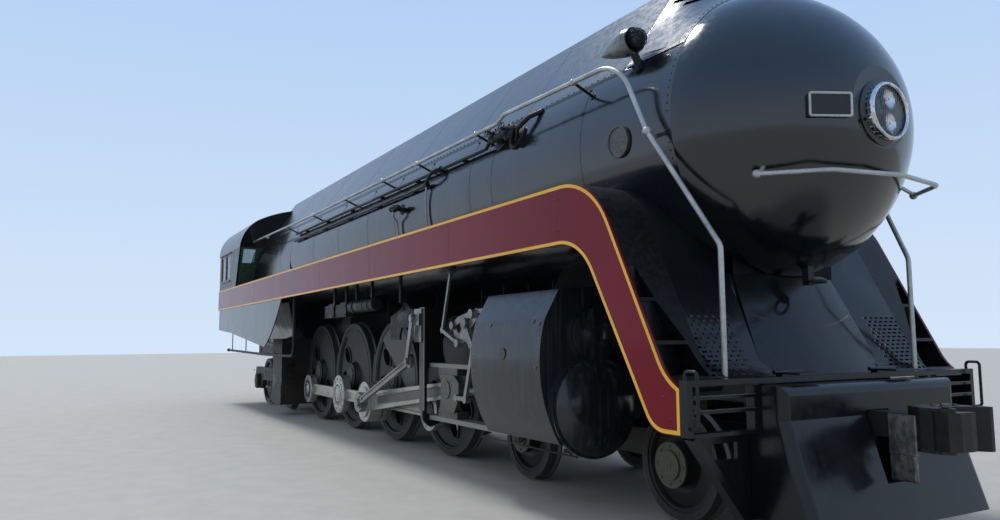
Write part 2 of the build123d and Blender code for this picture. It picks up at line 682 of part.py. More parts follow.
# Bullet nose: arcs through the curve of its section
NOSE_STEPS = (0.0, 0.2, 0.4, 0.55, 0.7, 0.8, 0.88, 0.92, 0.95)
with BuildPart() as nose_cone:
    with BuildSketch(Plane(origin=(NOSE_SEAM_X + SEAT, 0, BARREL_Z), x_dir=(1, 0, 0),
                           z_dir=(0, -1, 0))):
        with BuildLine():
            spots = [(NOSE_LENGTH * t, nose_radius(NOSE_LENGTH * t)) for t in NOSE_STEPS]
            for start, middle, end in zip(spots[0::2], spots[1::2], spots[2::2]):
                ThreePointArc(start, middle, end)
            Polyline(spots[-1], (spots[-1][0], 0), (0, 0), spots[0])
        make_face()
    revolve(axis=Axis((0, 0, BARREL_Z), (1, 0, 0)), revolution_arc=360)
save(nose_cone, "nose_cone")

# Skyline casing over the boiler: straight to the hood, which slopes down to the nose
CASING_REAR_X = -6420
CASING_KEEL_Z = 3500
STACK_CUT_LONG = 1100
STACK_CUT_WIDE = 460
HOOD_SKIN = 4
LOUVRE_DEPTH = 80
LOUVRE_Z = [BARREL_TOP_Z + 22 + 84 * i for i in range(5)]
LOUVRE_GAP = 46
LOUVRE_REAR_X = [CASING_FRONT_X + 230, CASING_FRONT_X + 60] + [CASING_FRONT_X + 20] * 3


def casing_outline(inset=0):
    """Half-round casing section in the current sketch, its keel inside the boiler."""
    edge_y = CASING_EDGE_Y - inset
    shoulder_y = CASING_SHOULDER_Y - inset / 2
    shoulder_z = CASING_SHOULDER_Z - inset
    with BuildLine() as outline:
        Line((-edge_y, CASING_KEEL_Z), (-edge_y, CASING_EDGE_Z))
        Line((-edge_y, CASING_EDGE_Z), (-shoulder_y, shoulder_z))
        ThreePointArc((-shoulder_y, shoulder_z), (0, CASING_TOP_Z - inset),
                      (shoulder_y, shoulder_z))
        Line((shoulder_y, shoulder_z), (edge_y, CASING_EDGE_Z))
        Line((edge_y, CASING_EDGE_Z), (edge_y, CASING_KEEL_Z))
        Line((edge_y, CASING_KEEL_Z), (-edge_y, CASING_KEEL_Z))
    make_face(outline.edges())


def hood_front(inset=0):
    """Section of the hood's front end, wrapped on the barrel."""
    radius = BARREL_R + HOOD_SKIN - inset
    turn = CASING_EDGE_TURN
    lap = degrees(atan2(CASING_SHOULDER_Y, BARREL_R))
    spots = []
    for at in (-turn, -(turn + lap) / 2, -lap, 0, lap, (turn + lap) / 2, turn):
        spots.append((radius * sin(radians(at)), BARREL_Z + radius * cos(radians(at))))
    with BuildLine() as outline:
        Line((spots[0][0], CASING_KEEL_Z), spots[0])
        ThreePointArc(spots[0], spots[1], spots[2])
        ThreePointArc(spots[2], spots[3], spots[4])
        ThreePointArc(spots[4], spots[5], spots[6])
        Line(spots[6], (spots[6][0], CASING_KEEL_Z))
        Line((spots[6][0], CASING_KEEL_Z), (spots[0][0], CASING_KEEL_Z))
    make_face(outline.edges())


with BuildPart() as hood_core:
    with BuildSketch(across(CASING_FRONT_X - LOUVRE_DEPTH)):
        casing_outline(LOUVRE_DEPTH)
    with BuildSketch(across(NOSE_SEAM_X)):
        hood_front(LOUVRE_DEPTH)
    loft()

with BuildPart() as louvre_gaps:
    for z, rear_x in zip(LOUVRE_Z, LOUVRE_REAR_X):
        box(rear_x, NOSE_SEAM_X + 10, -CASING_EDGE_Y, CASING_EDGE_Y, z, z + LOUVRE_GAP)
    add(hood_core.part, mode=Mode.SUBTRACT)

with BuildPart() as casing_hood:
    with BuildSketch(across(CASING_FRONT_X)):
        casing_outline()
    with BuildSketch(across(NOSE_SEAM_X)):
        hood_front()
    loft()

with BuildPart() as skyline_casing:
    with BuildSketch(across(CASING_REAR_X)):
        casing_outline()
    extrude(amount=CASING_FRONT_X - CASING_REAR_X)
    add(casing_hood.part)
    add(louvre_gaps.part, mode=Mode.SUBTRACT)
    drum(CASING_REAR_X - 10, NOSE_SEAM_X + 10, 0, BARREL_Z, BARREL_R + SEAT, mode=Mode.SUBTRACT)
    with BuildSketch(Plane.XY.offset(BARREL_Z)):
        with Locations((STACK_X, 0)):
            SlotOverall(STACK_CUT_LONG, STACK_CUT_WIDE)
    extrude(amount=CASING_TOP_Z - BARREL_Z + 10, mode=Mode.SUBTRACT)
save(skyline_casing, "skyline_casing")

STACK_LONG = 980
STACK_WIDE = 380
STACK_WALL = 50
STACK_BELOW_TOP = 30
with BuildPart() as stack:
    with BuildSketch(Plane.XY.offset(BARREL_TOP_Z + SEAT)):
        with Locations((STACK_X, 0)):
            SlotOverall(STACK_LONG, STACK_WIDE)
            SlotOverall(STACK_LONG - 2 * STACK_WALL, STACK_WIDE - 2 * STACK_WALL,
                        mode=Mode.SUBTRACT)
    extrude(amount=CASING_TOP_Z - STACK_BELOW_TOP - BARREL_TOP_Z)
save(stack, "stack")

# Headlight in the tip of the nose: deep bezel round a recessed reflector
HEADLIGHT_Z = 3191
HEADLIGHT_R = 255
HEADLIGHT_DEEP = 170
HEADLIGHT_RIM = 30
HEADLIGHT_RECESS = 60
NOSE_TIP_X = NOSE_SEAM_X + SEAT + NOSE_LENGTH * NOSE_STEPS[-1]
with BuildPart() as headlight:
    face_x = NOSE_TIP_X + HEADLIGHT_DEEP
    drum(NOSE_TIP_X - 60, face_x, 0, HEADLIGHT_Z, HEADLIGHT_R)
    drum(face_x - 45, face_x - 15, 0, HEADLIGHT_Z, HEADLIGHT_R + 20)
    drum(face_x - HEADLIGHT_RECESS, face_x + 10, 0, HEADLIGHT_Z, HEADLIGHT_R - HEADLIGHT_RIM,
         mode=Mode.SUBTRACT)
    for step in (-1, 1):
        drum(face_x - HEADLIGHT_RECESS - 5, face_x - 25, 0, HEADLIGHT_Z + step * 108, 98)
    add(nose_cone.part, mode=Mode.SUBTRACT)
save(headlight, "headlight")

# Running boards: flat deck along the boiler, S-curved ribbon and outer skirt at the front
SLOPE_TOP = (7544, SKIRT_TOP_Z)
SLOPE_FOOT = (8361, 1258)
UNDER_TOP = (7366, SKIRT_BOTTOM_Z)
UNDER_FOOT = (8209, SKIRT_FRONT_BOTTOM_Z)
TOP_BEND, FOOT_BEND, UNDER_BEND, UNDER_FOOT_BEND = 730, 430, 520, 226
DECK_REAR_X = CAB_FRONT_X + 300
RIBBON_LIP = 15
STEP_WALL = 8
STEP_EDGE = 28
STEP_OUTER_Y = SKIRT_Y - SKIRT_THICK - 12
AHEAD_X = SKIRT_FRONT_X + 500
BEHIND_X = SLOPE_TOP[0] - 500

# floor height, head height, inner edge at the floor, inner edge at the head, back wall
STEP_WELLS = (
    (DECK_Z + 14, 1503, 1275, 1342, 8100),
    (1503, 1820, 1342, 1482, 8040),
    (1820, 2118, 1482, 1578, 7940),
)


def skirt_face():
    """Side view of the skirt in the current sketch."""
    with BuildLine() as outline:
        FilletPolyline(
            (CAB_REAR_X, SKIRT_TOP_Z), SLOPE_TOP, SLOPE_FOOT, (SKIRT_FRONT_X, SKIRT_FRONT_TOP_Z),
            radius=(TOP_BEND, FOOT_BEND),
        )
        Line((SKIRT_FRONT_X, SKIRT_FRONT_TOP_Z), (SKIRT_FRONT_X, SKIRT_FRONT_BOTTOM_Z))
        FilletPolyline(
            (SKIRT_FRONT_X, SKIRT_FRONT_BOTTOM_Z), UNDER_FOOT, UNDER_TOP, (CAB_REAR_X,
                                                                           SKIRT_BOTTOM_Z),
            radius=(UNDER_FOOT_BEND, UNDER_BEND),
        )
        Line((CAB_REAR_X, SKIRT_BOTTOM_Z), (CAB_REAR_X, SKIRT_TOP_Z))
    make_face(outline.edges())


def ribbon_face(rear_x):
    """Side view of the curved sheet in the current sketch."""
    nose_end = (SKIRT_FRONT_X - RIBBON_LIP, SKIRT_FRONT_TOP_Z - BOARD_THICK)
    with BuildLine() as outline:
        FilletPolyline(
            (rear_x, SKIRT_TOP_Z), SLOPE_TOP, SLOPE_FOOT, (SKIRT_FRONT_X, SKIRT_FRONT_TOP_Z),
            radius=(TOP_BEND, FOOT_BEND),
        )
        Line((SKIRT_FRONT_X, SKIRT_FRONT_TOP_Z), nose_end)
        FilletPolyline(
            nose_end,
            (SLOPE_FOOT[0] - 20, SLOPE_FOOT[1] - BOARD_THICK + 5),
            (SLOPE_TOP[0] - 20, SLOPE_TOP[1] - BOARD_THICK),
            (rear_x, SKIRT_TOP_Z - BOARD_THICK),
            radius=(FOOT_BEND, TOP_BEND),
        )
        Line((rear_x, SKIRT_TOP_Z - BOARD_THICK), (rear_x, SKIRT_TOP_Z))
    make_face(outline.edges())


def ahead_face():
    """Side view of everything ahead of the curved sheet, in the current sketch."""
    with BuildLine() as outline:
        FilletPolyline(
            (BEHIND_X, SKIRT_TOP_Z), SLOPE_TOP, SLOPE_FOOT, (SKIRT_FRONT_X, SKIRT_FRONT_TOP_Z),
            radius=(TOP_BEND, FOOT_BEND),
        )
        Polyline(
            (SKIRT_FRONT_X, SKIRT_FRONT_TOP_Z),
            (AHEAD_X, SKIRT_FRONT_TOP_Z),
            (AHEAD_X, SKIRT_TOP_Z + 500),
            (BEHIND_X, SKIRT_TOP_Z + 500),
            (BEHIND_X, SKIRT_TOP_Z),
        )
    make_face(outline.edges())


def well_block(side, well, wall):
    """Block of one step well, grown by a wall."""
    floor_z, head_z, floor_y, head_y, back_x = well
    head = head_z - STEP_EDGE
    with BuildSketch(across(back_x - wall)) as mouth:
        with BuildLine() as outline:
            Polyline(
                (side * (STEP_OUTER_Y + wall), floor_z - wall),
                (side * (STEP_OUTER_Y + wall), head + wall),
                (side * (head_y - wall), head + wall),
                (side * (floor_y - wall), floor_z - wall),
                close=True,
            )
        make_face(outline.edges())
    extrude(mouth.sketch, amount=AHEAD_X - back_x + wall)


BOARD_INNER_Y = sqrt(BARREL_R**2 - (BARREL_Z - SKIRT_TOP_Z) ** 2) + SEAT
for side in SIDES:
    with BuildPart() as ahead:
        with BuildSketch(upright(side * (RIBBON_INNER_Y - 50))):
            ahead_face()
        slab(side, RIBBON_INNER_Y - 50, SKIRT_Y)
    with BuildPart() as wells:
        for well in STEP_WELLS:
            well_block(side, well, 0)
    with BuildPart() as pans:
        for well in STEP_WELLS:
            well_block(side, well, STEP_WALL)
        add(ahead.part, mode=Mode.SUBTRACT)
    with BuildPart() as running_board:
        with BuildSketch(upright(side * (SKIRT_Y - SKIRT_THICK))):
            skirt_face()
        slab(side, SKIRT_Y - SKIRT_THICK, SKIRT_Y)
        with BuildSketch(upright(side * RIBBON_INNER_Y)):
            ribbon_face(DECK_REAR_X)
        slab(side, RIBBON_INNER_Y, SKIRT_Y - SKIRT_THICK)
        add(pans.part)
        add(wells.part, mode=Mode.SUBTRACT)
        deck = (SKIRT_TOP_Z - BOARD_THICK, SKIRT_TOP_Z)
        box(FIREBOX_FRONT_X, BEHIND_X, *outward(side, BOARD_INNER_Y, RIBBON_INNER_Y), *deck)
        box(DECK_REAR_X, FIREBOX_FRONT_X, *outward(side, BARREL_R + SEAT, RIBBON_INNER_Y), *deck)
    save(running_board, f"running_board_{SIDE_NAME[side]}")

# Front apron: curved sheet with slotted vents and a bulged centre panel under the nose
APRON_PANEL_Y = 640
SLOT_LONG = 50
SLOT_HIGH = 14
SLOT_PITCH_Y = 75
SLOT_PITCH_Z = 33
SLOT_COLUMNS = 6
SLOT_ROWS = 14
SLOT_MIDDLE_Y = 1020
SLOT_MIDDLE_Z = 1485
BULGE_FOOT = (8368, 705, 8425)
BULGE_HEAD = (7980, 590, 8030)
BULGE_HEAD_Z = 2040
BULGE_BACK = 60


def bulge_section(corner_x, corner_y, crown_x):
    """Plan of the centre panel: straight back and bowed front."""
    with BuildLine() as outline:
        ThreePointArc((corner_x, -corner_y), (crown_x, 0), (corner_x, corner_y))
        Polyline(
            (corner_x, corner_y),
            (corner_x - BULGE_BACK, corner_y),
            (corner_x - BULGE_BACK, -corner_y),
            (corner_x, -corner_y),
        )
    make_face(outline.edges())


with BuildPart() as front_apron:
    for side in SIDES:
        with BuildSketch(upright(side * APRON_PANEL_Y)):
            ribbon_face(BEHIND_X)
        slab(side, APRON_PANEL_Y, RIBBON_INNER_Y - SEAT)
        with BuildSketch(across(SLOPE_FOOT[0] - 400)):
            with Locations((side * SLOT_MIDDLE_Y, SLOT_MIDDLE_Z)):
                with GridLocations(SLOT_PITCH_Y, 2 * SLOT_PITCH_Z, SLOT_COLUMNS, SLOT_ROWS // 2):
                    Rectangle(SLOT_LONG, SLOT_HIGH)
            with Locations((side * (SLOT_MIDDLE_Y + SLOT_PITCH_Y / 2),
                            SLOT_MIDDLE_Z - SLOT_PITCH_Z)):
                with GridLocations(SLOT_PITCH_Y, 2 * SLOT_PITCH_Z, SLOT_COLUMNS, SLOT_ROWS // 2):
                    Rectangle(SLOT_LONG, SLOT_HIGH)
        extrude(amount=600, mode=Mode.SUBTRACT)
    with BuildSketch(Plane.XY.offset(DECK_Z + SEAT)):
        bulge_section(*BULGE_FOOT)
    with BuildSketch(Plane.XY.offset(BULGE_HEAD_Z)):
        bulge_section(*BULGE_HEAD)
    loft()
    box(BEHIND_X - 10, AHEAD_X, -SKIRT_Y, SKIRT_Y, 0, DECK_Z + SEAT, mode=Mode.SUBTRACT)
    drum(BEHIND_X - 10, NOSE_SEAM_X + NOSE_LENGTH, 0, BARREL_Z, BARREL_R + SEAT, mode=Mode.SUBTRACT)
save(front_apron, "front_apron")

# Pilot: deck, centre box raked forward at its foot, side plates and end steps
BOX_TOP_X = 8790
BOX_FOOT_X = 9030
BOX_TOP_Z = 1186
BOX_KNEE_Z = 950
BOX_FOOT_Z = 200
BOX_HALF = 1000
BOX_EDGE_R = 70
BOX_BACK_X = 8480
POCKET_HALF = 135
POCKET_Z = (480, 985)
POCKET_DEEP = 330
DECK_REAR_EDGE_X = 7950
STEP_BLOCK_X = (SKIRT_FRONT_X + SEAT, 8572)
STEP_BLOCK_Z = 858
POST_THICK = 45
TREAD_Z = (1009, 1104)
TREAD_THICK = 22
FLARE_X = (8440, 8475)
FLARE_FOOT_Z = 240
FLARE_HOLE_Y = (1119, 1365)
FLARE_HOLE_Z = (674, 790)
FLARE_EDGE = 55
ribbon_edge = RIBBON_INNER_Y - SEAT
with BuildPart() as pilot:
    with BuildSketch(upright(BOX_HALF)):
        with BuildLine():
            Polyline(
                (BOX_BACK_X, BOX_FOOT_Z),
                (BOX_BACK_X, BOX_TOP_Z),
                (BOX_TOP_X, BOX_TOP_Z),
                (BOX_TOP_X, BOX_KNEE_Z),
                (BOX_FOOT_X, BOX_FOOT_Z),
                close=True,
            )
        make_face()
    extrude(amount=2 * BOX_HALF)
    front_edges = [e for e in edges() if e.center().X > BOX_BACK_X + 5 and abs(e.center().Y) > BOX_HALF - 1
                   and e.center().Z > BOX_FOOT_Z + 5 and e.center().X > BOX_TOP_X - 1]
    brow = [e for e in edges() if abs(e.center().Y) < 1 and abs(e.center().Z - BOX_TOP_Z) < 1
            and e.center().X > BOX_TOP_X - 1]
    fillet(front_edges + brow, BOX_EDGE_R)
    box(FRAME_FRONT_X + SEAT, BOX_BACK_X, -APRON_PANEL_Y, APRON_PANEL_Y, BOX_KNEE_Z,
        DECK_Z - DECK_THICK)
    box(DECK_REAR_EDGE_X, STEP_BLOCK_X[0], -ribbon_edge, ribbon_edge, DECK_Z - DECK_THICK, DECK_Z)
    box(STEP_BLOCK_X[0] - 1, STEP_BLOCK_X[1], -SKIRT_Y, SKIRT_Y, DECK_Z - DECK_THICK, DECK_Z)
    for side in SIDES:
        for y in (SKIRT_Y - POST_THICK, BOX_HALF - 5):
            box(*STEP_BLOCK_X, *outward(side, y, y + POST_THICK), STEP_BLOCK_Z, DECK_Z)
        for z in TREAD_Z:
            box(*STEP_BLOCK_X, *outward(side, BOX_HALF, SKIRT_Y - 5), z, z + TREAD_THICK)
        box(*STEP_BLOCK_X, *outward(side, BOX_HALF - 5, SKIRT_Y), STEP_BLOCK_Z,
            STEP_BLOCK_Z + TREAD_THICK)
        with BuildSketch(across(FLARE_X[0])):
            with BuildLine():
                Polyline(
                    (side * 1560, STEP_BLOCK_Z - 5),
                    (side * (BOX_HALF - 10), STEP_BLOCK_Z - 5),
                    (side * (BOX_HALF - 10), FLARE_FOOT_Z),
                    (side * 1080, FLARE_FOOT_Z),
                    close=True,
                )
            make_face()
            with Locations((side * sum(FLARE_HOLE_Y) / 2, sum(FLARE_HOLE_Z) / 2)):
                Rectangle(FLARE_HOLE_Y[1] - FLARE_HOLE_Y[0], FLARE_HOLE_Z[1] - FLARE_HOLE_Z[0],
                          mode=Mode.SUBTRACT)
        extrude(amount=FLARE_X[1] - FLARE_X[0])
        box(*FLARE_X, *outward(side, BOX_HALF - 5, 1560), STEP_BLOCK_Z - 6, STEP_BLOCK_Z + 5)
        box(FLARE_X[0], STEP_BLOCK_X[1], *outward(side, BOX_HALF - 5, 1560), STEP_BLOCK_Z - 5,
            STEP_BLOCK_Z + 10)
        with BuildSketch(across(FLARE_X[0])):
            bar((side * 1560, STEP_BLOCK_Z - 10), (side * 1080, FLARE_FOOT_Z), FLARE_EDGE)
        extrude(amount=FLARE_X[1] - FLARE_X[0] + FLARE_EDGE)
    box(BOX_TOP_X - POCKET_DEEP, BOX_FOOT_X, -POCKET_HALF, POCKET_HALF, *POCKET_Z,
        mode=Mode.SUBTRACT)
save(pilot, "pilot")

# Cover plates on the pilot deck beside the coupler
COVER_X = (8500, 8740)
COVER_Z = DECK_Z + 18
COVER_TABLE = ((-760, -480), (330, 620))
with BuildPart() as deck_covers:
    for y0, y1 in COVER_TABLE:
        box(*COVER_X, y0, y1, COVER_Z, COVER_Z + 14)
        box(COVER_X[0], COVER_X[0] + 60, y0 + 30, y1 - 30, DECK_Z + SEAT, COVER_Z)
        disc(COVER_X[0] + 20, COVER_Z + 12, y0 - 15, y1 + 15, 16)
save(deck_covers, "deck_covers")

# Front coupler: shank, head with its guard arm, and the knuckle on its pin
SHANK_HALF = 88
SHANK_FRONT_X = 9170
HEAD_DEEP = 150
KNUCKLE_DEEP = 128
KNUCKLE_PIN_R = 22
KNUCKLE_PIN = (9385, -135)
with BuildPart() as coupler_front:
    box(BOX_TOP_X - POCKET_DEEP + SEAT, SHANK_FRONT_X, -SHANK_HALF, SHANK_HALF,
        COUPLER_Z - SHANK_HALF, COUPLER_Z + SHANK_HALF)
    with BuildSketch(Plane.XY.offset(COUPLER_Z - HEAD_DEEP)):
        with BuildLine():
            Polyline(
                (SHANK_FRONT_X - 60, -120),
                (SHANK_FRONT_X - 60, 120),
                (9250, 205),
                (9420, 250),
                (COUPLER_FACE_X - 20, 240),
                (COUPLER_FACE_X - 20, 205),
                (9400, 130),
                (9345, 40),
                (9335, -60),
                (9335, -200),
                (9240, -190),
                close=True,
            )
        make_face()
    extrude(amount=2 * HEAD_DEEP)
    for z in (COUPLER_Z - HEAD_DEEP, COUPLER_Z + KNUCKLE_DEEP + SEAT):
        with BuildSketch(Plane.XY.offset(z)):
            with Locations(KNUCKLE_PIN):
                Circle(62)
            with Locations((KNUCKLE_PIN[0] - 80, KNUCKLE_PIN[1])):
                Rectangle(130, 124)
            with Locations(KNUCKLE_PIN):
                Circle(KNUCKLE_PIN_R + SEAT, mode=Mode.SUBTRACT)
        extrude(amount=HEAD_DEEP - KNUCKLE_DEEP - SEAT)
save(coupler_front, "coupler_front")

with BuildPart() as coupler_knuckle:
    with BuildSketch(Plane.XY.offset(COUPLER_Z - KNUCKLE_DEEP)):
        with BuildLine():
            Polyline(
                (9335 + SEAT, -70),
                (9335 + SEAT, -185),
                (9440, -200),
                (9500, -150),
                (COUPLER_FACE_X, -60),
                (COUPLER_FACE_X, -5),
                (9470, 0),
                (9440, -50),
                (9400, -70),
                close=True,
            )
        make_face()
    extrude(amount=2 * KNUCKLE_DEEP)
    with BuildSketch(Plane.XY.offset(COUPLER_Z - HEAD_DEEP)):
        with Locations(KNUCKLE_PIN):
            Circle(KNUCKLE_PIN_R)
    extrude(amount=2 * HEAD_DEEP + 12)
save(coupler_knuckle, "coupler_knuckle")

with BuildPart() as rear_drawbar:
    drawbar_z = (1220, 1330)
    box(DRAWBAR_END_X, FRAME_REAR_X - SEAT, -110, 110, *drawbar_z)
    with BuildSketch(Plane.XY.offset(drawbar_z[0] - 10)):
        with Locations((DRAWBAR_END_X + 130, 0)):
            Circle(50)
    extrude(amount=140, mode=Mode.SUBTRACT)
save(rear_drawbar, "rear_drawbar")

# Cylinders: casing with a bevelled top and a bowed outer side, heads at both ends
CYLINDER_Z = WRIST_Z
VALVE_Z = 1560
BORE_HEAD_R = 430
BORE_DOME = 150
DOME_FLAT_R = 60
VALVE_HEAD_R = 230
VALVE_DOME = 90
REAR_HEAD_R = 235
REAR_HEAD_DEEP = 90
CASING_IN_Y = 930
BEVEL_Y = 1490
BEVEL_IN_Y = 1250
BEVEL_DROP = 130
BELLY_Y = 1500
BELLY_FOOT_Y = 1380
COVER_R = 55
SIDE_COVER = (6165, 1384)
for side in SIDES:
    with BuildPart() as cylinder:
        with BuildSketch(across(CYLINDER_REAR_X)):
            with BuildLine():
                Polyline(
                    (side * BELLY_Y, CYLINDER_BOTTOM_Z + 23),
                    (side * BELLY_FOOT_Y, CYLINDER_BOTTOM_Z),
                    (side * CASING_IN_Y, CYLINDER_BOTTOM_Z + 40),
                    (side * CASING_IN_Y, CYLINDER_TOP_Z + 40),
                    (side * BEVEL_IN_Y, CYLINDER_TOP_Z + 20),
                    (side * BEVEL_Y, CYLINDER_TOP_Z),
                    (side * (CYLINDER_OUTER_Y - 60), CYLINDER_TOP_Z - 2 * BEVEL_DROP),
                )
                ThreePointArc(
                    (side * (CYLINDER_OUTER_Y - 60), CYLINDER_TOP_Z - 2 * BEVEL_DROP),
                    (side * CYLINDER_OUTER_Y, 1300),
                    (side * BELLY_Y, CYLINDER_BOTTOM_Z + 23),
                )
            make_face()
        extrude(amount=CYLINDER_LENGTH)
        for z, radius, dome in ((CYLINDER_Z, BORE_HEAD_R, BORE_DOME),
                                (VALVE_Z, VALVE_HEAD_R, VALVE_DOME)):
            drum(CYLINDER_FRONT_X, CYLINDER_FRONT_X + 40, side * CYLINDER_Y, z, radius + 25)
            with BuildSketch(upright(side * CYLINDER_Y)) as half:
                with BuildLine() as outline:
                    front = CYLINDER_FRONT_X + dome
                    Line((CYLINDER_FRONT_X, z), (CYLINDER_FRONT_X, z + radius))
                    Line((CYLINDER_FRONT_X, z + radius), (CYLINDER_FRONT_X + 60, z + radius))
                    ThreePointArc(
                        (CYLINDER_FRONT_X + 60, z + radius),
                        (front - 22, z + radius * 0.62),
                        (front, z + DOME_FLAT_R),
                    )
                    Line((front, z + DOME_FLAT_R), (front, z))
                    Line((front, z), (CYLINDER_FRONT_X, z))
                make_face(outline.edges())
            revolve(profiles=half.sketch, axis=Axis((0, side * CYLINDER_Y, z), (1, 0, 0)),
                    revolution_arc=360)
            drum(CYLINDER_REAR_X - REAR_HEAD_DEEP, CYLINDER_REAR_X, side * CYLINDER_Y, z,
                 REAR_HEAD_R)
        belly = side * (CYLINDER_OUTER_Y - 30)
        disc(*SIDE_COVER, belly, side * (CYLINDER_OUTER_Y + 6), COVER_R)
    save(cylinder, f"cylinder_{SIDE_NAME[side]}")

SADDLE_REAR_X, SADDLE_FRONT_X = 5750, 6600
SADDLE_TOP_Z = 2300
SADDLE_TOP_Y = 700
SADDLE_WING_Z = 1900
with BuildPart() as cylinder_saddle:
    with BuildSketch(across(SADDLE_REAR_X)):
        with BuildLine():
            Polyline(
                (-CASING_IN_Y + SEAT, FRAME_REST_Z),
                (-CASING_IN_Y + SEAT, SADDLE_WING_Z),
                (-SADDLE_TOP_Y, SADDLE_TOP_Z),
                (SADDLE_TOP_Y, SADDLE_TOP_Z),
                (CASING_IN_Y - SEAT, SADDLE_WING_Z),
                (CASING_IN_Y - SEAT, FRAME_REST_Z),
                (FRAME_OUTER_Y + SEAT, FRAME_REST_Z),
                (FRAME_OUTER_Y + SEAT, FRAME_TOP_Z + SEAT),
                (-FRAME_OUTER_Y - SEAT, FRAME_TOP_Z + SEAT),
                (-FRAME_OUTER_Y - SEAT, FRAME_REST_Z),
                close=True,
            )
        make_face()
    extrude(amount=SADDLE_FRONT_X - SADDLE_REAR_X)
    centre_x = (LEAD_PIVOT_X - CENTRE_PLATE_R, LEAD_PIVOT_X + CENTRE_PLATE_R)
    centre_y = (-FRAME_INNER_Y + SEAT, FRAME_INNER_Y - SEAT)
    box(*centre_x, *centre_y, CENTRE_PLATE_TOP_Z + 0.5, FRAME_TOP_Z + SEAT)
    drum(SADDLE_REAR_X - 10, SADDLE_FRONT_X + 10, 0, BARREL_Z, BARREL_R + SEAT, mode=Mode.SUBTRACT)
save(cylinder_saddle, "cylinder_saddle")

# Guides, crossheads and main rods
main_pin = crank_pin(RIGHT, MAIN_DRIVER_X)
MAIN_ROD_LENGTH = hypot(WRIST_X - main_pin[0], WRIST_Z - main_pin[1])
YOKE_X = 3398
YOKE_THICK = 45
YOKE_OUTER_Y = 1310
YOKE_LEG_Y = 1245
YOKE_TOP_Z = 1930
YOKE_FOOT_Z = 430
GUIDE_TOP_Z = (1178, 1228)
GUIDE_BOTTOM_Z = (530, 585)
GUIDE_IN_Y, GUIDE_OUT_Y = 1060, 1220
GUIDE_FRONT_X = CYLINDER_REAR_X - REAR_HEAD_DEEP
SHOE_LONG = 255
SHOE_HIGH = 85
WRIST_R = 70
WRIST_OUT_Y = 1250
CROSSHEAD_Y = (1210, 1240)
BIG_END_R = 300
SMALL_END_R = 125
ROD_BIG_HALF = 140
ROD_SMALL_HALF = 95
MAIN_FLUTE_EDGE = 42
MAIN_FLUTE_DEPTH = 28
